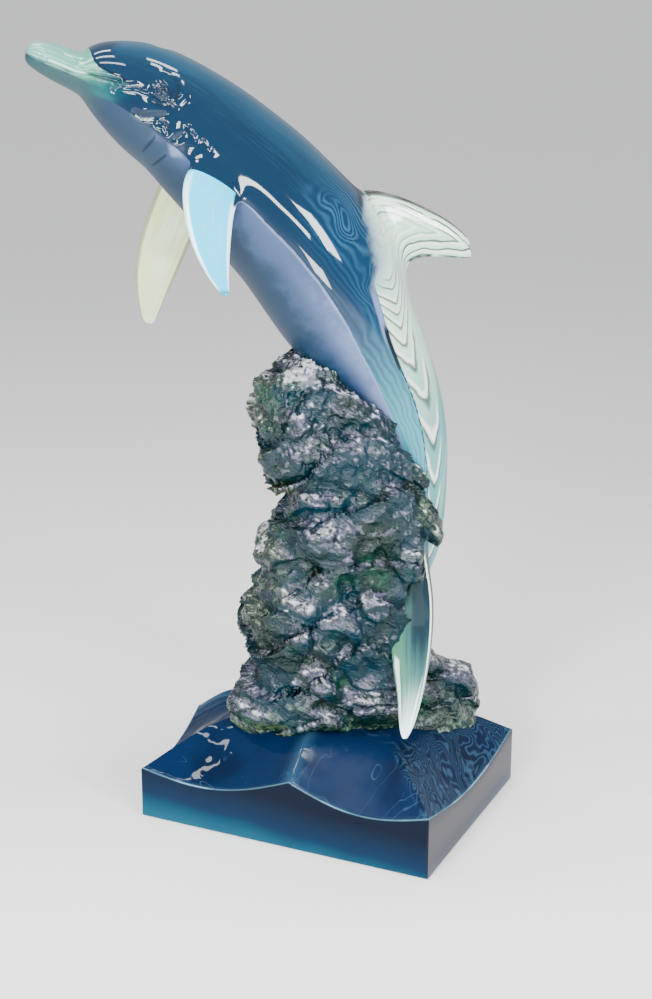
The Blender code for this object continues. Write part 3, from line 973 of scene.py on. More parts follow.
def dressed(thing: Object, node: str, finish: Material) -> Object:
    """Paints a piece, puts it under the body, and hides the CAD node that it stands for.

    Args:
        thing: the piece.
        node: the CAD node it stands for.
        finish: its material.

    Returns:
        The piece.
    """
    thing.data.materials.clear()
    thing.data.materials.append(finish)
    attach(thing, ROOT)
    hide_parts(node)
    return thing


@dataclass(frozen=True)
class Fin:
    """A fin that grows from one column of the body's faces between two rings.

    Each section has its front corner, its back corner (forward, above and left of the tail, in shares of
    the dolphin's length) and its thickness.
    """

    kind: FinKind
    column: int
    first: int
    last: int
    sections: tuple[Section, ...]


def mirrored(sections: tuple[Section, ...]) -> tuple[Section, ...]:
    """The same sections on the dolphin's other side."""
    return tuple(((a, b, -c), (d, e, -g), t) for (a, b, c), (d, e, g), t in sections)


FLUKE = (
    ((-0.014, 0.006, 0.030), (0.030, -0.036, 0.032), 0.0200),
    ((-0.016, -0.028, 0.052), (0.050, -0.066, 0.058), 0.0150),
    ((-0.008, -0.079, 0.080), (0.058, -0.105, 0.083), 0.0120),
    ((0.009, -0.134, 0.111), (0.053, -0.146, 0.111), 0.0100),
    ((0.032, -0.188, 0.137), (0.057, -0.190, 0.138), 0.0070),
    ((0.046, -0.205, 0.146), (0.053, -0.205, 0.146), 0.0040),
)
FINS = (
    Fin(FinKind.DORSAL, 0, 14, 17, (
        ((0.085, 0.566, 0.0), (0.020, 0.462, 0.0), 0.0200),
        ((0.052, 0.562, 0.0), (0.000, 0.468, 0.0), 0.0160),
        ((0.008, 0.545, 0.0), (-0.028, 0.467, 0.0), 0.0130),
        ((-0.036, 0.522, 0.0), (-0.056, 0.464, 0.0), 0.0100),
        ((-0.069, 0.493, 0.0), (-0.074, 0.464, 0.0), 0.0060),
    )),
    Fin(FinKind.NEAR, 5, 10, 12, (
        ((0.344, 0.601, 0.081), (0.266, 0.562, 0.083), 0.0300),
        ((0.350, 0.583, 0.092), (0.278, 0.557, 0.095), 0.0240),
        ((0.351, 0.555, 0.101), (0.283, 0.540, 0.104), 0.0190),
        ((0.343, 0.510, 0.119), (0.290, 0.503, 0.120), 0.0150),
        ((0.325, 0.473, 0.139), (0.295, 0.468, 0.140), 0.0100),
        ((0.306, 0.448, 0.150), (0.296, 0.446, 0.150), 0.0060),
    )),
    Fin(FinKind.FAR, 11, 10, 12, (
        ((0.346, 0.600, -0.080), (0.270, 0.558, -0.082), 0.0300),
        ((0.357, 0.578, -0.089), (0.286, 0.546, -0.092), 0.0240),
        ((0.372, 0.543, -0.096), (0.302, 0.516, -0.099), 0.0190),
        ((0.392, 0.487, -0.106), (0.318, 0.472, -0.108), 0.0150),
        ((0.399, 0.425, -0.119), (0.350, 0.403, -0.121), 0.0110),
        ((0.386, 0.362, -0.134), (0.368, 0.355, -0.136), 0.0060),
    )),
    Fin(FinKind.FLUKE, 4, 23, 26, FLUKE),
    Fin(FinKind.FLUKE, 12, 23, 26, mirrored(FLUKE)),
)

# How a fin's thickness runs from its front corner to its back corner, by its number of points
CHORD_STEPS = {3: ((0.0, 0.35), (0.5, 1.0), (1.0, 0.20)),
               4: ((0.0, 0.35), (0.3, 1.0), (0.68, 0.75), (1.0, 0.15))}

# Rings of the body from the beak's tip to the notch between the flukes, in shares of the length:
# forward of the tail, above the tail, half height, half width
BODY = (
    (0.5405, 0.7530, 0.0090, 0.0094),
    (0.5325, 0.7508, 0.0170, 0.0168),
    (0.505, 0.7405, 0.0238, 0.0265),
    (0.478, 0.7275, 0.0245, 0.0320),
    (0.468, 0.7250, 0.0290, 0.0370),
    (0.456, 0.7245, 0.0405, 0.0440),
    (0.432, 0.7168, 0.0545, 0.0530),
    (0.400, 0.7018, 0.0684, 0.0650),
    (0.369, 0.682, 0.0757, 0.0730),
    (0.338, 0.662, 0.0790, 0.0770),
    (0.310, 0.638, 0.0858, 0.0810),
    (0.279, 0.610, 0.0902, 0.0840),
    (0.239, 0.573, 0.0958, 0.0880),
    (0.204, 0.535, 0.0987, 0.0900),
    (0.172, 0.501, 0.1012, 0.0900),
    (0.147, 0.461, 0.1003, 0.0880),
    (0.126, 0.425, 0.0978, 0.0850),
    (0.105, 0.386, 0.0921, 0.0790),
    (0.072, 0.335, 0.0803, 0.0680),
    (0.043, 0.284, 0.0707, 0.0570),
    (0.022, 0.239, 0.0610, 0.0470),
    (0.008, 0.196, 0.0526, 0.0390),
    (0.000, 0.140, 0.0441, 0.0310),
    (-0.005, 0.081, 0.0370, 0.0250),
    (-0.005, 0.036, 0.0300, 0.0220),
    (0.002, 0.000, 0.0215, 0.0210),
    (0.014, -0.026, 0.0110, 0.0170),
)


@dataclass
class Dolphin:
    """The leaping dolphin: body, beak, dorsal fin, pectoral fins and flukes in one casting.

    Sizes after heading_deg are shares of the length, except the layers' thickness, and a spot on the head
    is ahead of the tail and above it. The carving beside the mouth starts face_edge from the middle and is
    whole face_run further out.

    Each paint line gives, by a ring's number, how far around from the back to the belly it lies: below
    belly_line the paint is lavender, above bare_line there is none, and crease_line parts forehead and
    cheek. bends counts the bends of the layers down the clear strip, bend_middle says where their tips lie
    and bend_reach how far their arms run. A knot has a ring's number, its reach along, a way around, its
    reach around and how many layers it lifts.
    """

    edge_height: float
    body: Table = BODY
    fins: tuple[Fin, ...] = FINS
    length: float = 1.130
    heading_deg: float = 36.0
    tail_behind_middle: float = 0.145
    tail_above_edge: float = 0.301
    sides: int = 16
    rounding: int = 3
    refinements: Table = ((0.046, 0.0100, 0.0140), (0.034, 0.0060, 0.0090), (0.0, 0.0, 0.0060))
    longest_edge: float = 1.7
    smoothing: int = 5
    face_edge: float = 0.012
    face_run: float = 0.010
    mouth: Line = ((0.512, 0.7425), (0.505, 0.7405), (0.478, 0.7290), (0.456, 0.7245), (0.425, 0.7170))
    mouth_depth: float = 0.0032
    mouth_radius: float = 0.0026
    lip_height: float = 0.3
    lip_offset: float = 2.2
    lip_line: float = 0.0016
    eye: Spot = (0.370, 0.705)
    eye_height: float = 0.0045
    eye_radius: float = 0.0110
    eye_squint: float = 1.35
    ball_radius: float = 0.0052
    ball_edge: float = 0.0012
    ball_rim: float = 0.0015
    lid_radius: float = 0.0078
    lid_width: float = 0.0020
    lid_height: float = 0.0014
    wrinkles: tuple[float, ...] = (0.0150, 0.0240)
    wrinkle_width: float = 0.0034
    wrinkle_depth: float = 0.0010
    creases: tuple[Line, ...] = (
        ((0.4285, 0.7057), (0.4227, 0.7105), (0.4098, 0.7107), (0.4000, 0.7123), (0.3905, 0.7092)),
        ((0.4044, 0.6760), (0.3965, 0.6720), (0.3836, 0.6741), (0.3690, 0.6722)),
        ((0.3756, 0.6657), (0.3676, 0.6625), (0.3628, 0.6526)),
        ((0.3652, 0.7185), (0.3576, 0.7074), (0.3479, 0.7017)),
        ((0.3603, 0.6900), (0.3524, 0.6787), (0.3438, 0.6850), (0.3349, 0.6936)),
        ((0.3514, 0.6444), (0.3449, 0.6494)),
        ((0.3398, 0.6576), (0.3318, 0.6477)),
        ((0.3204, 0.6395), (0.3140, 0.6313)),
    )
    crease_depth: float = 0.0015
    crease_radius: float = 0.0044
    crease_bank: float = 0.35
    crease_drift: float = 0.0035
    crease_waves: float = 45.0
    cheek: Spot = (0.3885, 0.6935)
    cheek_height: float = 0.0028
    cheek_radius: float = 0.0140
    cheek_folds: float = 0.0022
    fold_waves: float = 34.0
    blowhole: Spot = (0.362, 0.758)
    blowhole_depth: float = 0.0035
    blowhole_radius: float = 0.0090
    throat_folds: tuple[Line, ...] = (((0.394, 0.627), (0.387, 0.637), (0.381, 0.645)),
                                      ((0.381, 0.608), (0.374, 0.615), (0.367, 0.621)))
    throat_depth: float = 0.0012
    throat_radius: float = 0.0016
    knots: tuple[tuple[float, float, float, float, float], ...] = ((13.8, 0.8, 0.295, 0.050, 3.5),
                                                                   (16.6, 1.0, 0.315, 0.075, 6.0))
    knot_grain: tuple[Spot, Spot] = ((14.0, 1.2), (0.275, 0.11))
    layer_thickness: float = 0.0046
    layer_tilt_deg: float = 61.6
    layer_waves: float = 24.0
    layers_level_out: Spot = (15.5, 17.5)
    levelling: float = 0.60
    bend_height: float = 0.62
    bend_curve: float = 1.4
    belly_line: Line = ((3.5, 0.70), (4.29, 0.70), (5.20, 0.683), (5.88, 0.650), (6.47, 0.633), (7.10, 0.626),
                        (8.17, 0.628), (8.77, 0.636), (9.87, 0.625), (11.33, 0.583), (12.47, 0.583),
                        (14.40, 0.572), (15.03, 0.561), (16.78, 0.550), (17.83, 0.572), (19.37, 0.606),
                        (22.0, 0.650), (26.0, 0.70))
    bare_line: Line = ((13.90, 0.00), (14.00, 0.05), (14.29, 0.167), (14.75, 0.206), (15.22, 0.244),
                       (15.73, 0.283), (16.03, 0.344), (17.03, 0.370), (17.69, 0.400), (18.34, 0.417),
                       (19.45, 0.422), (20.18, 0.433), (21.02, 0.440), (26.0, 0.45))
    crease_line: Line = ((4.0, -0.02), (4.32, 0.03), (4.37, 0.144), (4.55, 0.250), (4.70, 0.328),
                         (5.12, 0.405), (5.78, 0.444), (6.28, 0.461), (7.5, 0.48))
    bends: Line = ((14.0, -6.0), (16.3, -1.0), (16.6, 0.0), (17.0, 1.0), (17.3, 2.0), (17.6, 3.0),
                   (18.0, 4.0), (18.6, 5.0), (19.65, 6.0), (21.0, 7.0), (22.1, 8.0), (23.2, 9.0),
                   (26.0, 11.0))
    bend_middle: Line = ((14.0, 0.16), (16.5, 0.250), (17.0, 0.264), (18.0, 0.331), (19.65, 0.325),
                         (21.0, 0.350), (22.5, 0.370), (26.0, 0.40))
    bend_reach: Line = ((14.0, 0.12), (16.5, 0.110), (17.0, 0.105), (18.0, 0.082), (19.65, 0.085),
                        (22.5, 0.07), (26.0, 0.07))

    def heading(self) -> tuple[Vector, Vector]:
        """Where the dolphin heads.

        Returns:
            Its forward and left directions.
        """
        turn = math.radians(self.heading_deg)
        return (Vector((-math.cos(turn), -math.sin(turn), 0.0)),
                Vector((math.sin(turn), -math.cos(turn), 0.0)))

    def point(self, ahead: float, above: float, left: float = 0.0) -> Vector:
        """A place given in shares of the length.

        Args:
            ahead: how far ahead of the tail.
            above: how far above it.
            left: how far left of it.

        Returns:
            The place, in metres.
        """
        forward, leftward = self.heading()
        tail = forward * -self.tail_behind_middle
        tail.z = self.edge_height + self.tail_above_edge
        return tail + (forward * ahead + leftward * left + Vector((0.0, 0.0, above))) * self.length

    def rings(self) -> Rings:
        """The rings of the cage around the body, square to the spine.

        Rounding draws a point in to a sixth of each neighbour and four sixths of itself, so the rings are
        swollen by as much as that takes away.

        Returns:
            One ring for each row of the body's table.
        """
        leftward = self.heading()[1]
        centres = [self.point(ahead, above) for ahead, above, _, _ in self.body]
        turn = 2.0 * math.pi / self.sides
        swell = 6.0 / (4.0 + 2.0 * math.cos(turn)) * self.length
        rings = []
        for number, (_, _, half_height, half_width) in enumerate(self.body):
            before = centres[max(number - 1, 0)]
            after = centres[min(number + 1, len(centres) - 1)]
            dorsal = leftward.cross((after - before).normalized())
            ring = []
            for side in range(self.sides):
                angle = (side - 0.5) * turn
                up = dorsal * (math.cos(angle) * half_height * swell)
                out = leftward * (math.sin(angle) * half_width * swell)
                ring.append(centres[number] + up + out)
            rings.append(ring)
        return rings

    def grow(self, body: BMesh, rings: Rings, fin: Fin) -> None:
        """Extrudes one fin from a column of the body's faces, section by section.

        Args:
            body: the cage.
            rings: the body's rings.
            fin: the fin.
        """
        ring_of = body.faces.layers.int["ring"]
        column_of = body.faces.layers.int["column"]
        kind, span, chord_share = (body.verts.layers.float[name]
                                   for name in (fin.kind.value, "span", "chord"))
        steps = CHORD_STEPS[fin.last - fin.first + 1]
        faces = [face for face in body.faces
                 if face[column_of] == fin.column and fin.first <= face[ring_of] < fin.last]
        grid = {}
        for row in range(fin.first, fin.last + 1):
            for side in (0, 1):
                grid[(row - fin.first, side)] = rings[row][(fin.column + side) % self.sides]
        for vert in {vert for face in faces for vert in face.verts}:
            spot = min(grid, key=lambda key: (grid[key] - vert.co).length_squared)
            vert[chord_share] = steps[spot[0]][0]
        middles = [sum(grid.values(), Vector()) / len(grid)]
        for front, back, _ in fin.sections:
            middles.append((self.point(*front) + self.point(*back)) / 2)
        for number, (front, back, thickness) in enumerate(fin.sections):
            front_point = self.point(*front)
            chord = self.point(*back) - front_point
            ahead = middles[min(number + 2, len(middles) - 1)]
            normal = chord.cross(ahead - middles[number]).normalized()
            if normal.dot(grid[(0, 1)] - grid[(0, 0)]) < 0.0:
                normal.negate()
            made = bmesh.ops.extrude_face_region(body, geom=faces)
            fresh = [item for item in made["geom"] if isinstance(item, BMVert)]
            bmesh.ops.delete(body, geom=faces, context="FACES")
            faces = [item for item in made["geom"] if isinstance(item, BMFace)]
            moved = {}
            for vert in fresh:
                spot = min(grid, key=lambda key: (grid[key] - vert.co).length_squared)
                share, fullness = steps[spot[0]]
                offset = normal * (thickness * self.length * fullness * (spot[1] - 0.5))
                moved[spot] = front_point + chord * share + offset
                vert.co = moved[spot]
                vert[kind] = 1.0
                vert[span] = (number + 1) / len(fin.sections)
                vert[chord_share] = share
            grid = moved

    def cage(self) -> BMesh:
        """The cage around the body, with every fin grown from it.

        Returns:
            The cage, with the attributes that its finish reads.
        """
        rings = self.rings()
        body = skin(rings)
        for name in ("along", "around", "span", "chord", *(kind.value for kind in FinKind)):
            body.verts.layers.float.new(name)
        along, around = (body.verts.layers.float[name] for name in ("along", "around"))
        row_of, side_of = (body.verts.layers.float[name] for name in ("row", "side"))
        for vert in body.verts:
            angle = (vert[side_of] - 0.5) * 2.0 / self.sides
            vert[along] = vert[row_of]
            vert[around] = min(abs(angle), 2.0 - abs(angle))
        for fin in self.fins:
            self.grow(body, rings, fin)
        bmesh.ops.recalc_face_normals(body, faces=body.faces)
        return body

    def solid(self) -> Object:
        """The rounded dolphin, without its carving.

        Returns:
            The object.
        """
        thing = add_object("dolphin_form", self.cage())
        smooth = thing.modifiers.new("rounding", "SUBSURF")
        smooth.levels = self.rounding
        smooth.render_levels = self.rounding
        settle(thing)
        return thing

    def shares(self, found: np.ndarray) -> tuple[np.ndarray, np.ndarray]:
        """Measures places from the tail, in shares of the length.

        Args:
            found: the places.

        Returns:
            How far ahead and above each is, as rows of two, and how far left.
        """
        forward, leftward = self.heading()
        offset = (found - np.array(self.point(0.0, 0.0))) / self.length
        return np.stack([offset @ np.array(forward), offset[:, 2]], axis=1), offset @ np.array(leftward)

    def refine(self, mesh: Mesh) -> None:
        """Splits the head's faces where the carving is finest, and smooths what was split.

        Each refinement says how near the eye, the mouth and the folds of cheek and throat it works. A point
        at its border, with an edge longer than longest_edge times the middling one, stays where it is.

        Args:
            mesh: the dolphin's mesh.
        """
        for reach, mouth_reach, fold_reach in self.refinements:
            spots, _ = self.shares(places(mesh))
            near = (away(spots, self.eye) < reach) | (path_distance(spots, self.mouth) < mouth_reach)
            for path in (*self.creases, *self.throat_folds):
                near |= path_distance(spots, path) < fold_reach
            fine = bmesh.new()
            fine.from_mesh(mesh)
            edges = [edge for edge in fine.edges if all(near[vert.index] for vert in edge.verts)]
            made = bmesh.ops.subdivide_edges(fine, edges=edges, cuts=1, smooth=1.0, use_grid_fill=True)
            split = [item for item in made["geom"] if isinstance(item, BMEdge)]
            longest = self.longest_edge * float(np.median([edge.calc_length() for edge in split]))
            fine.verts.index_update()
            ends = sorted({vert for edge in split for vert in edge.verts}, key=lambda vert: vert.index)
            inner = [vert for vert in ends if max(edge.calc_length() for edge in vert.link_edges) < longest]
            for _ in range(self.smoothing):
                bmesh.ops.smooth_vert(fine, verts=inner, factor=0.5, use_axis_x=True, use_axis_y=True,
                                      use_axis_z=True)
            fine.to_mesh(mesh)
            fine.free()

    def carve_eye(self, spots: np.ndarray, beside: np.ndarray) -> tuple[np.ndarray, np.ndarray]:
        """The relief of the eyes, their lids and the wrinkles around them.

        Args:
            spots: places on the head's middle plane.
            beside: 1 on the head's sides and 0 on its middle.

        Returns:
            The relief as a share of the length, and how deep in a wrinkle each spot is, from 0 to 1.
        """
        from_eye = spots - np.array(self.eye)
        reach = np.hypot(from_eye[:, 0], from_eye[:, 1] * self.eye_squint)
        turn = np.arctan2(from_eye[:, 1], from_eye[:, 0])
        relief = self.eye_height * bell(reach, self.eye_radius)
        relief += self.lid_height * bell(reach - self.lid_radius, self.lid_width)
        relief -= self.lid_height * bell(reach - self.ball_radius, self.ball_rim)
        folds = np.zeros(len(spots))
        for number, radius in enumerate(self.wrinkles):
            open_side = rise(np.cos(turn + 1.7 + 0.5 * number), -0.4, 0.5)
            wobble = radius * (1.0 + 0.10 * np.sin(3.0 * turn + number))
            folds = np.maximum(folds, bell(reach - wobble, self.wrinkle_width) * open_side)
        return (relief - self.wrinkle_depth * folds) * beside, folds * beside

    def carve_cheek(self, spots: np.ndarray, left: np.ndarray,
                    beside: np.ndarray) -> tuple[np.ndarray, np.ndarray]:
        """The relief of the cheeks: a rounded jowl, its creases and soft folds between them.

        Args:
            spots: places on the head's middle plane.
            left: how far left of that plane each spot is.
            beside: 1 on the head's sides and 0 on its middle.

        Returns:
            The relief as a share of the length, and how deep in a crease each spot is, from 0 to 1.
        """
        creases = np.zeros(len(spots))
        banks = np.zeros(len(spots))
        full = [Vector((spot[0], spot[1], side)) for spot, side in zip(spots, left)]
        drift = np.array([noise.noise_vector(place * self.crease_waves)[:2] for place in full])
        for path in self.creases:
            gap = path_distance(spots + drift * self.crease_drift, path)
            creases = np.maximum(creases, bell(gap, self.crease_radius))
            banks = np.maximum(banks, bell(gap - 2.0 * self.crease_radius, self.crease_radius))
        relief = self.crease_depth * (self.crease_bank * banks - creases)
        relief += self.cheek_height * bell(away(spots, self.cheek), self.cheek_radius)
        reach = away(spots, self.eye)
        soft = rise(reach, 0.075, 0.035) * rise(reach, 0.018, 0.032)
        soft *= rise(spots[:, 1] - self.eye[1], 0.014, -0.002)
        for index in np.nonzero(soft)[0]:
            relief[index] += self.cheek_folds * soft[index] * noise.noise(full[index] * self.fold_waves)
        return relief * beside, creases * beside

    def carve(self, mesh: Mesh) -> None:
        """Carves the mouth, the eyes, the cheeks, the blowhole and the throat, and marks their lines.

        Args:
            mesh: the dolphin's mesh.
        """
        found = places(mesh)
        spots, left = self.shares(found)
        beside = np.clip((abs(left) - self.face_edge) / self.face_run, 0.0, 1.0)

        gap = path_distance(spots, self.mouth)
        lips = self.lip_height * bell(gap - self.lip_offset * self.mouth_radius, self.mouth_radius)
        relief = self.mouth_depth * (lips - bell(gap, self.mouth_radius))
        eyes, wrinkles = self.carve_eye(spots, beside)
        cheeks, creases = self.carve_cheek(spots, left, beside)
        hole = np.hypot(away(spots, self.blowhole), left)
        relief += eyes + cheeks - self.blowhole_depth * bell(hole, self.blowhole_radius)
        throat = np.zeros(len(found))
        for path in self.throat_folds:
            throat = np.maximum(throat, bell(path_distance(spots, path), self.throat_radius) * beside)
        relief -= self.throat_depth * throat

        move_points(mesh, found + directions(mesh) * (relief * self.length)[:, None])
        ball = rise(away(spots, self.eye), self.ball_radius, self.ball_radius - self.ball_edge)
        write_attribute(mesh, "lip", bell(gap, self.lip_line))
        write_attribute(mesh, "fold", np.maximum(np.maximum(wrinkles * 0.7, creases * 0.15), throat))
        write_attribute(mesh, "pupil", ball * beside)

    def mark(self, mesh: Mesh) -> None:
        """Marks how far each spot lies past the paint's lines, and which of the casting's layers it is in.

        Args:
            mesh: the dolphin's mesh.
        """
        along = read_attribute(mesh, "along")
        around = read_attribute(mesh, "around")
        write_attribute(mesh, "belly", around - follow(self.belly_line, along))
        write_attribute(mesh, "bare", follow(self.bare_line, along) - around)
        write_attribute(mesh, "crease", around - follow(self.crease_line, along))
        aside = abs(around - follow(self.bend_middle, along)) / follow(self.bend_reach, along)
        write_attribute(mesh, "aside", aside)
        write_attribute(mesh, "bend", follow(self.bends, along + self.bend_height * aside ** self.bend_curve))
        (row, rows_wide), (spot, reach) = self.knot_grain
        write_attribute(mesh, "knot", bell(np.hypot((along - row) / rows_wide, (around - spot) / reach), 1.0))
        write_attribute(mesh, "layer", self.layers(places(mesh), along, around))

    def layers(self, found: np.ndarray, along: np.ndarray, around: np.ndarray) -> np.ndarray:
        """Counts the casting's layers, which lie in tilted planes and bend around knots.

        Args:
            found: places on the body.
            along: their rings' numbers.
            around: how far around from the back each lies.

        Returns:
            Each place's layer.
        """
        _, left = self.shares(found)
        rows = np.array(self.body)
        numbers = np.arange(len(rows))
        tilt = math.radians(self.layer_tilt_deg)
        high = rows[:, 2] * math.cos(tilt)
        wide = rows[:, 3] * math.sin(tilt)
        depth = abs(left) * math.sin(tilt) + np.interp(along, numbers, high) * np.cos(around * math.pi)
        deepest = np.hypot(high, wide)
        start, end = self.layers_level_out
        taper = np.interp(start, numbers, deepest) - np.interp(along, numbers, deepest)
        depth += self.levelling * taper * rise(along, start, end)
        layer = depth * self.length / self.layer_thickness
        drift = np.array([noise.noise_vector(Vector(row) * self.layer_waves) for row in found])
        for row, rows_wide, spot, reach, layers in self.knots:
            gap = np.hypot((along - row) / rows_wide + drift[:, 0], (around - spot) / reach + drift[:, 1])
            layer += layers * bell(gap, 1.0)
        return layer

    def build(self) -> Object:
        """Builds and dresses the dolphin.

        Returns:
            The finished piece.
        """
        thing = self.solid()
        thing.name = "dolphin_casting"
        self.refine(thing.data)
        self.mark(thing.data)
        self.carve(thing.data)
        thing.data.shade_smooth()
        return dressed(thing, "dolphin", DolphinFinish().make())


# The slab's corners, anticlockwise from the front left one, and the crests along the side from each to the
# next: place along the side from -1 to 1, height as a share of the edge height
CORNERS = ((-1.0, -1.0), (1.0, -1.0), (1.0, 1.0), (-1.0, 1.0))
CRESTS = (
    ((-1.0, 0.84), (0.06, 1.12), (1.0, 1.00)),
    ((-1.0, 1.00), (1.0, 0.92)),
    ((-1.0, 0.92), (0.0, 1.10), (1.0, 1.02)),
    ((-1.0, 1.02), (0.0, 1.18), (1.0, 0.84)),
)


@dataclass
class WaveBase:
    """The slab, its top dished between crests that run in to the rock.

    dip_carried and dip_fade say how a scallop's dip runs out inwards, and levelling how late the top bends
    to the level seat of the rock.
    """

    length: float
    width: float
    edge_height: float = 0.106
    scallop_depth: float = 0.026
    rise: float = 0.056
    dish_reach: float = 0.120
    ease: float = 0.003
    dip_carried: float = 0.35
    dip_fade: float = 0.8
    levelling: int = 3
    steps: int = 30
    ease_steps: int = 4
    scallop_steps: int = 40
    wall_levels: tuple[float, ...] = (0.2, 0.4, 0.6, 0.8)
    ridge_width: float = 0.012
    sharp_deg: float = 50.0
    crests: tuple[Line, ...] = CRESTS

    def sides(self) -> list[tuple[Vector, Vector, Line]]:
        """Each side's two corners on a square from -1 to 1, and its crests."""
        return [(Vector(start), Vector(end), crests)
                for start, end, crests in zip(CORNERS, CORNERS[1:] + CORNERS[:1], self.crests)]

    def perimeter(self) -> list[tuple[Vector, float, float]]:
        """Goes around the edge.

        Returns:
            For each place its spot on a square from -1 to 1, its crest height and its dip.
        """
        found = []
        for start, end, crests in self.sides():
            steps = self.scallop_steps * 2 // (len(crests) - 1)
            for low, high in zip(crests, crests[1:]):
                for step in range(steps):
                    share = step / steps
                    along = low[0] + (high[0] - low[0]) * share
                    crest = low[1] + (high[1] - low[1]) * share
                    spot = start + (end - start) * ((along + 1.0) / 2.0)
                    found.append((spot, crest, math.sin(math.pi * share)))
        return found

    def top(self, crest: float, dip: float, share: float) -> float:
        """The height of the slab's top.

        Args:
            crest: the height of its edge there, before the dip.
            dip: how far into a scallop that place is, from 0 to 1.
            share: the way in from the edge to the level seat of the rock.

        Returns:
            The height, in metres.
        """
        inward = math.pi / 2 * share
        left_over = self.dip_carried + (1.0 - self.dip_carried) * math.cos(inward) ** self.dip_fade
        dished = self.scallop_depth * dip * left_over
        free = self.edge_height * crest + self.rise * math.sin(inward) - dished
        seat = self.edge_height + self.rise
        return free + (seat - free) * share ** self.levelling

    def ring(self, shrink: float, heights: Sequence[float]) -> list[Vector]:
        """A ring around the slab.

        Args:
            shrink: how far it is drawn in from the edge.
            heights: its height at each place of the perimeter.

        Returns:
            The ring.
        """
        half_length = self.length / 2 - shrink
        half_width = self.width / 2 - shrink
        return [Vector((spot.x * half_length, spot.y * half_width, height))
                for (spot, _, _), height in zip(self.perimeter(), heights)]

    def rings(self) -> Rings:
        """Rings from the underside over the eased edges to the level seat of the rock.

        Returns:
            The rings, from below.
        """
        around = self.perimeter()
        rims = [self.top(crest, dip, 0.0) for _, crest, dip in around]
        turns = [math.pi / 2 * step / self.ease_steps for step in range(self.ease_steps + 1)]
        rings = [self.ring(self.ease * (1.0 - math.sin(turn)),
                           [self.ease * (1.0 - math.cos(turn))] * len(around)) for turn in turns]
        rings += [self.ring(0.0, [rim * level for rim in rims]) for level in self.wall_levels]
        rings += [self.ring(self.ease * (1.0 - math.cos(turn)),
                            [rim - self.ease * (1.0 - math.sin(turn)) for rim in rims]) for turn in turns]
        for step in range(1, self.steps + 1):
            share = step / self.steps
            shrink = self.ease + (self.dish_reach - self.ease) * share
            rings.append(self.ring(shrink, [self.top(crest, dip, share) for _, crest, dip in around]))
        return rings

    def mark(self, mesh: Mesh) -> None:
        """Marks the slab's walls, its top edge and the ridges between its dishes.

        Args:
            mesh: the slab's mesh.
        """
        found = places(mesh)
        row = read_attribute(mesh, "row")
        rim = 2 * self.ease_steps + len(self.wall_levels) + 1
        write_attribute(mesh, "wall", rise(row, rim - 0.6, rim - 1.6))
        write_attribute(mesh, "edge", bell(row - rim + 1.5, 0.9))
        ridge = np.full(len(found), 1.0)
        half = np.array((self.length / 2, self.width / 2))
        for start, end, crests in self.sides():
            for along, _ in crests[1:-1]:
                share = (along + 1.0) / 2.0
                outer = (np.array(start) + np.array(end - start) * share) * half
                inner = outer * (1.0 - self.dish_reach / half)
                ridge = np.minimum(ridge, path_distance(found[:, :2], (tuple(outer), tuple(inner))))
        write_attribute(mesh, "ridge", bell(ridge, self.ridge_width))

    def build(self) -> Object:
        """Builds and dresses the slab.

        Returns:
            The finished piece.
        """
        thing = add_object("wave_base_casting", skin(self.rings()))
        self.mark(thing.data)
        thing.data.shade_smooth()
        thing.data.set_sharp_from_angle(angle=math.radians(self.sharp_deg))
        finish = BaseFinish().make(self.length / 2, self.width / 2, self.dish_reach)
        return dressed(thing, "wave_base", finish)


# Rings of the rock: height as a share of the way from the edge of the slab to the top, reach ahead of
# the middle and behind it as shares of the rock's length, half width as a share of its width, squareness
ROCK = (
    (0.00, 0.340, 0.600, 0.34, 1.8),
    (0.07, 0.375, 0.640, 0.35, 1.8),
    (0.12, 0.415, 0.640, 0.36, 1.8),
    (0.16, 0.410, 0.610, 0.36, 1.9),
    (0.21, 0.390, 0.560, 0.38, 2.0),
    (0.26, 0.350, 0.440, 0.40, 2.2),
    (0.33, 0.385, 0.330, 0.44, 2.5),
    (0.38, 0.400, 0.305, 0.45, 2.6),
    (0.42, 0.355, 0.300, 0.43, 2.6),
    (0.48, 0.300, 0.340, 0.41, 2.6),
    (0.54, 0.305, 0.395, 0.41, 2.6),
    (0.61, 0.255, 0.415, 0.40, 2.6),
    (0.67, 0.175, 0.410, 0.37, 2.6),
    (0.70, 0.160, 0.385, 0.37, 2.6),
    (0.71, 0.265, 0.365, 0.40, 2.5),
    (0.76, 0.290, 0.320, 0.43, 2.4),
    (0.81, 0.305, 0.270, 0.43, 2.4),
    (0.87, 0.335, 0.210, 0.41, 2.3),
    (0.94, 0.290, 0.055, 0.34, 2.2),
    (0.975, 0.205, 0.000, 0.24, 2.0),
    (1.00, 0.130, -0.030, 0.10, 2.0),
)


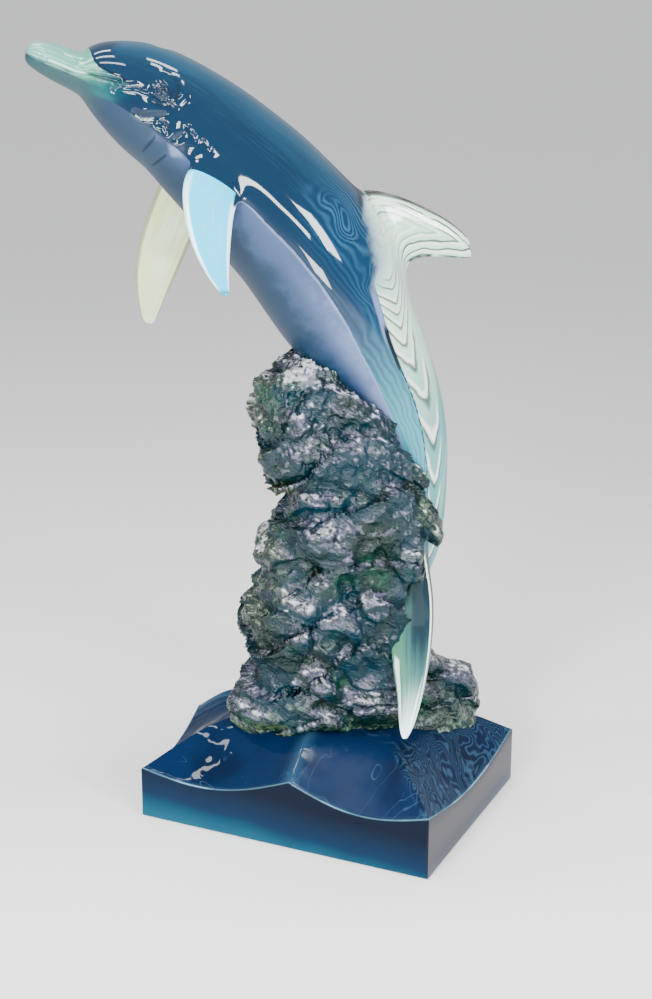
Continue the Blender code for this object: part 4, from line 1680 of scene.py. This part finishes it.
@dataclass
class Rock:
    """The craggy rock, seated on the slab and hollowed where the dolphin lies in it.

    Its outline's reaches are shares of its length and width, depths are in metres, ribs, cells, waves and
    scales are counts in a metre, and the knobs start at a share of its height. pane is the one flat chip,
    ahead of the middle, left of it and above the ground, and warm_corner a glowing one near the slab.
    """

    dolphin: Dolphin
    base: WaveBase
    outline: Table = ROCK
    top_ring: int = 18
    length: float = 0.400
    width: float = 0.260
    sink: float = 0.030
    gap: float = 0.0003
    sides: int = 370
    levels: int = 245
    ledge_depth: float = 0.020
    crag_depth: float = 0.016
    crag_waves: float = 13.0
    ledges: float = 9.0
    ledge_slant: float = 0.45
    ledge_wander: float = 0.8
    ledge_waves: float = 6.0
    calm_height: float = 0.12
    slope_deg: float = 28.0
    sharp_deg: float = 75.0
    ribs: float = 14.0
    rib_depth: float = 0.0095
    rib_wander: float = 1.15
    rib_start: float = 0.12
    rib_swell: float = 0.50
    rib_edge: float = 0.07
    plate_cells: Corner = (22.0, 46.0, 36.0)
    plate_depth: float = 0.0030
    wrinkle_scale: Corner = (46.0, 105.0, 70.0)
    wrinkle_depth: float = 0.0022
    knobs_from: float = 0.62
    knobs_over: float = 0.10
    knob_cells: float = 100.0
    knob_depth: float = 0.0048
    pane: Corner = (0.055, 0.068, 0.760)
    pane_reach: Corner = (0.030, 0.030, 0.017)
    grain_waves: float = 150.0
    grain_depth: float = 0.0007
    # Where the light that the rock's finish paints as light and shade comes from
    light_from: Corner = (0.25, -0.35, 0.90)
    warm_corner: Spot = (0.125, 0.060)
    foot_height: float = 0.06

    def top(self) -> float:
        """The height of the rock's top, where the belly leaves it."""
        ahead, above, _, _ = self.dolphin.body[self.top_ring]
        return self.dolphin.point(ahead, above).z

    def crag(self, spot: Vector, angle: float) -> float:
        """The slanting ledges and broken lumps of the rock, calm at its foot.

        Args:
            spot: a place on the rock's outline.
            angle: its direction from the rock's middle.

        Returns:
            How far the rock stands out there.
        """
        slant = self.ledge_slant * math.sin(2.0 * angle + 1.0)
        wander = self.ledge_wander * noise.noise(spot * self.ledge_waves)
        wave = self.ledges * spot.z / self.top() + slant + wander
        ledge = wave - math.floor(wave)
        lumps = noise.fractal(spot * self.crag_waves, 0.7, 2.0, 3)
        calm = clamp((spot.z - self.base.edge_height) / self.calm_height)
        return (self.ledge_depth * (ledge - 0.5) + self.crag_depth * lumps) * calm

    def rings(self) -> Rings:
        """Rings of the rock from under the slab's top to the knob below the belly.

        Returns:
            The rings, from below.
        """
        forward, leftward = self.dolphin.heading()
        foot = self.base.edge_height
        climb = self.top() - foot
        table = np.array(self.outline)
        rings = []
        for level in range(self.levels + 1):
            share = level / self.levels
            ahead, behind, half_width, square = (np.interp(share, table[:, 0], table[:, column])
                                                 for column in range(1, 5))
            middle = forward * ((ahead - behind) / 2 * self.length)
            half_length = (ahead + behind) / 2 * self.length
            z = foot - self.sink + (climb + self.sink) * share
            ring = []
            for side in range(self.sides):
                angle = 2.0 * math.pi * side / self.sides
                cos, sin = math.cos(angle), math.sin(angle)
                along = math.copysign(abs(cos) ** (2.0 / square), cos) * half_length
                across = math.copysign(abs(sin) ** (2.0 / square), sin) * half_width * self.width
                spot = middle + forward * along + leftward * across + Vector((0.0, 0.0, z))
                out = forward * cos + leftward * sin
                ring.append(spot + out * self.crag(spot, angle))
            rings.append(ring)
        return rings

    def facet(self, spot: Vector, cells: Corner) -> float:
        """The height of a chipped facet at a spot: each cell of the stone is a plane of its own tilt.

        Args:
            spot: a place in the cells' own slanting directions.
            cells: how many cells there are in a metre along each direction.

        Returns:
            The height, from about -1 to 1.
        """
        scaled = Vector((spot.x * cells[0], spot.y * cells[1], spot.z * cells[2]))
        scaled += noise.noise_vector(scaled * 0.9) * 0.35
        middle = noise.voronoi(scaled)[1][0]
        tilt = noise.cell_vector(middle * 7.3)
        return (scaled - middle).dot(tilt - Vector((0.5, 0.5, 0.5))) * 1.1 + (tilt.x + tilt.y - 1.0) * 0.55

    def rib(self, spot: Vector) -> float:
        """How proud a spot is on the slanting ribs: a slow swell down to a sharp undercut edge.

        Args:
            spot: a place in the ribs' own slanting directions.

        Returns:
            0 in the hollow under a rib, up to 1 at a rib's lower edge.
        """
        wander = 0.95 * noise.noise(spot * 6.5) + 0.40 * noise.noise(spot * 17.0)
        phase = -spot.y * self.ribs + self.rib_wander * wander
        down = phase - math.floor(phase)
        swell = clamp((down - self.rib_start) / self.rib_swell)
        swell = swell * swell * (3.0 - 2.0 * swell)
        edge = clamp((1.0 - down) / self.rib_edge)
        strength = 0.75 + 1.5 * noise.noise(spot * 9.0 + Vector((3.0, 7.0, 1.0)))
        return swell * edge * min(max(strength, 0.25), 1.0)

    def relief(self, spot: Vector, share: float) -> tuple[float, float, float]:
        """The rock's fine relief at a spot.

        Args:
            spot: the place.
            share: its height as a share of the rock's.

        Returns:
            How far it stands out in metres, how proud its rib is and how proud its wrinkle, from 0 to 1.
        """
        slope = math.radians(self.slope_deg)
        forward, leftward = self.dolphin.heading()
        right = -spot.dot(forward)
        slanted = Vector((right * math.cos(slope) - spot.z * math.sin(slope),
                          right * math.sin(slope) + spot.z * math.cos(slope), spot.dot(leftward)))
        knobby = clamp((share - self.knobs_from) / self.knobs_over)
        rib = self.rib(slanted)
        plate = self.facet(slanted, self.plate_cells)
        fine = Vector(part * scale for part, scale in zip(slanted, self.wrinkle_scale))
        fine += noise.noise_vector(slanted * 30.0) * 0.8
        wrinkle = clamp(noise.ridged_multi_fractal(fine, 1.0, 2.0, 3, 0.9, 2.0) / 2.2)
        knob = max(1.0 - noise.voronoi(spot * self.knob_cells)[0][0] * 1.7, 0.0) if knobby else 0.0
        grain = noise.fractal(spot * self.grain_waves, 0.9, 2.0, 2)
        height = (self.rib_depth * (2.0 * rib - 1.0) * (1.0 - 0.45 * knobby) + self.plate_depth * plate
                  + self.wrinkle_depth * (wrinkle - 0.5) + self.knob_depth * knob * knobby
                  + self.grain_depth * grain)
        proud = rib + 0.10 * plate
        detail = wrinkle * (1.0 - 0.6 * knobby) + knob * knobby * 0.9
        return height, proud * (1.0 - 0.3 * knobby) + 0.22 * knobby, detail

    def break_up(self, mesh: Mesh) -> None:
        """Breaks the rock's skin into ribs, facets, wrinkles and knobs, and marks them for its finish.

        Args:
            mesh: the rock's mesh.
        """
        found = places(mesh)
        high = found[:, 2] - self.base.edge_height
        share = high / (self.top() - self.base.edge_height)
        relief = np.array([self.relief(Vector(row), float(part)) for row, part in zip(found, share)])
        forward, leftward = (np.array(way) for way in self.dolphin.heading())
        offset = np.stack([found @ forward, found @ leftward, found[:, 2]], axis=1) - np.array(self.pane)
        pane = bell(np.linalg.norm(offset / np.array(self.pane_reach), axis=1), 1.0)
        calm = np.clip((high - 0.02) / 0.06, 0.35, 1.0) * (1.0 - 0.85 * pane)
        found = found + directions(mesh) * (relief[:, 0] * calm)[:, None]
        move_points(mesh, found)
        write_attribute(mesh, "pane", pane)
        write_attribute(mesh, "proud", np.clip(relief[:, 1], 0.0, 1.0))
        write_attribute(mesh, "wrinkle", np.clip(relief[:, 2], 0.0, 1.0))
        # lit: how far the skin faces the light, from which the finish paints its light and shade
        write_attribute(mesh, "lit", np.clip(directions(mesh) @ np.array(self.light_from), 0.0, 1.0))
        self.mark_light(mesh, found @ forward, found @ leftward, share)

    def mark_light(self, mesh: Mesh, ahead: np.ndarray, aside: np.ndarray, share: np.ndarray) -> None:
        """Marks where light comes through the rock's thin edges, which the finish paints as a glow, and its
        paler foot.

        Args:
            mesh: the rock's mesh.
            ahead: how far ahead of the middle each point is.
            aside: how far left of the middle it is.
            share: its height as a share of the rock's, before the relief.
        """
        lobe = rise(ahead, 0.085, 0.135) * rise(share, 0.62, 0.72)
        flank = rise(ahead, 0.075, 0.125) * rise(share, 0.70, 0.60) * rise(share, 0.25, 0.40) * 0.8
        tail_side = rise(-ahead, 0.115, 0.150) * bell(share - 0.62, 0.14) * 0.7
        write_attribute(mesh, "thin", np.clip(lobe + flank + tail_side, 0.0, 1.0))
        under = rise(ahead, 0.075, 0.115) * bell(share - 0.695, 0.030) * 0.9
        from_corner = np.hypot(ahead - self.warm_corner[0], aside - self.warm_corner[1])
        corner = bell(from_corner, 0.024) * rise(share, 0.13, 0.08)
        write_attribute(mesh, "glow", np.clip(under + corner * 1.2, 0.0, 1.0))
        write_attribute(mesh, "foot", bell(np.clip(share - 0.03, 0.0, None), self.foot_height))

    def cut(self, thing: Object, other: Object) -> None:
        """Takes another casting, larger by the clearance, out of the rock.

        Args:
            thing: the rock.
            other: the casting, which is removed afterwards.
        """
        growth = other.modifiers.new("clearance", "DISPLACE")
        growth.strength = self.gap
        growth.mid_level = 0.0
        seat = thing.modifiers.new("seat", "BOOLEAN")
        seat.operation = "DIFFERENCE"
        seat.solver = "MANIFOLD"
        seat.object = other
        settle(thing)
        bpy.data.objects.remove(other, do_unlink=True)

    def build(self) -> Object:
        """Builds and dresses the rock.

        Returns:
            The finished piece.
        """
        thing = add_object("rock_casting", skin(self.rings()))
        self.break_up(thing.data)
        self.cut(thing, self.dolphin.solid())
        self.cut(thing, add_object("base_form", skin(self.base.rings())))
        thing.data.shade_smooth()
        thing.data.set_sharp_from_angle(angle=math.radians(self.sharp_deg))
        return dressed(thing, "rock", RockFinish().make())


@dataclass(frozen=True)
class Panel:
    """A soft light: name, place, what it faces, size in metres, brightness and turn about its own axis."""

    name: str
    place: Corner
    aim: Corner
    size: Spot
    brightness: float
    turn_deg: float = 0.0


def set_facing(thing: Object, place: Corner, target: Corner, turn_deg: float) -> None:
    """Puts a light or a camera into the scene, facing a target.

    Args:
        thing: the light or camera.
        place: where it stands.
        target: what it faces.
        turn_deg: how far it is turned about its own axis.
    """
    way = Vector(target) - Vector(place)
    level = way.to_track_quat("-Z", "Y")
    thing.location = place
    thing.rotation_euler = (Quaternion(way, math.radians(turn_deg)) @ level).to_euler()
    bpy.context.scene.collection.objects.link(thing)


@dataclass
class Studio:
    """The pale floor, the soft lights and the camera."""

    camera_place: Corner = (1.1347, -2.4842, 1.3627)
    camera_target: Corner = (-0.0047, -0.0138, 0.5426)
    camera_roll_deg: float = 0.17
    lens_mm: float = 62.34
    sensor_mm: float = 36.0
    floor_size: float = 400.0
    horizon: Colour = (0.74, 0.75, 0.77)
    zenith: Colour = (0.90, 0.91, 0.93)
    panels: tuple[Panel, ...] = (
        Panel("first_window", (1.80, -1.95, 0.97), (-0.02, -0.14, 1.03), (0.80, 0.18), 64.0, 42.0),
        Panel("second_window", (2.36, -1.27, 1.16), (0.03, -0.10, 1.00), (0.42, 0.76), 64.0, -8.0),
        Panel("low_window", (1.09, -1.39, 0.32), (0.03, -0.10, 0.93), (0.29, 0.17), 50.0, 0.0),
        Panel("cheek_window", (0.30, -2.90, 1.42), (-0.19, -0.23, 1.18), (0.95, 0.42), 50.0, 20.0),
        Panel("chin_window", (0.10, -2.75, 0.42), (-0.19, -0.23, 1.16), (0.55, 0.22), 42.0, 0.0),
        Panel("high_window", (-0.05, -2.60, 2.10), (-0.15, -0.20, 1.15), (0.60, 0.40), 60.0, 0.0),
    )
    lamps: Line = ((0.42, 0.11), (0.66, -0.18), (-0.97, -0.09), (-0.53, -0.80), (-0.06, -1.52),
                   (-1.33, -1.15))
    lamp_height: float = 3.2
    lamp_size: Spot = (0.68, 0.20)
    lamp_turn_deg: float = 32.0
    lamp_brightness: float = 40.0

    def light(self, panel: Panel) -> None:
        """Adds a soft panel light.

        Args:
            panel: the light's place and size.
        """
        lamp = bpy.data.lights.new(panel.name, "AREA")
        lamp.shape = "RECTANGLE"
        lamp.size, lamp.size_y = panel.size
        lamp.energy = panel.brightness * math.pi * panel.size[0] * panel.size[1]
        set_facing(bpy.data.objects.new(panel.name, lamp), panel.place, panel.aim, panel.turn_deg)

    def surroundings(self) -> None:
        """Pale surroundings that grow brighter from the horizon to the zenith."""
        world = bpy.data.worlds.new("pale studio")
        board = Board(world)
        way = board.node("ShaderNodeTexCoord", {}, {}).outputs["Generated"]
        height = board.node("ShaderNodeSeparateXYZ", {}, {0: way}).outputs[2]
        light = board.ramp(height, ((0.0, self.horizon), (1.0, self.zenith)))
        glow = board.node("ShaderNodeBackground", {}, {"Color": light}).outputs[0]
        board.node("ShaderNodeOutputWorld", {}, {"Surface": glow})
        bpy.context.scene.world = world

    def camera(self) -> None:
        """The camera, at the picture's viewing angle."""
        lens = bpy.data.cameras.new("camera")
        lens.lens = self.lens_mm
        lens.sensor_width = self.sensor_mm
        thing = bpy.data.objects.new("camera", lens)
        set_facing(thing, self.camera_place, self.camera_target, -self.camera_roll_deg)
        bpy.context.scene.camera = thing

    def build(self) -> None:
        """Builds the floor, the lights, the pale surroundings and the camera."""
        made = bmesh.new()
        bmesh.ops.create_grid(made, x_segments=1, y_segments=1, size=self.floor_size / 2)
        floor = add_object("floor", made)
        floor.data.materials.append(FloorFinish().make())
        self.surroundings()
        for panel in self.panels:
            self.light(panel)
        for number, (x, y) in enumerate(self.lamps):
            self.light(Panel(f"lamp_{number}", (x, y, self.lamp_height), (x, y, 0.0), self.lamp_size,
                             self.lamp_brightness, -self.lamp_turn_deg))
        self.camera()


def main() -> None:
    """Builds the sculpture and its studio, and reports each piece."""
    logging.basicConfig(level=logging.INFO)
    noise.seed_set(NOISE_SEED)
    low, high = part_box("wave_base")
    base = WaveBase(length=high.x - low.x, width=high.y - low.y)
    dolphin = Dolphin(edge_height=base.edge_height)
    rock = Rock(dolphin=dolphin, base=base)
    builders: tuple[Callable[[], Object], ...] = (base.build, dolphin.build, rock.build)
    for builder in builders:
        piece = builder()
        LOG.info("built %s with %d faces", piece.name, len(piece.data.polygons))
    Studio().build()


if __name__ == "__main__":
    main()
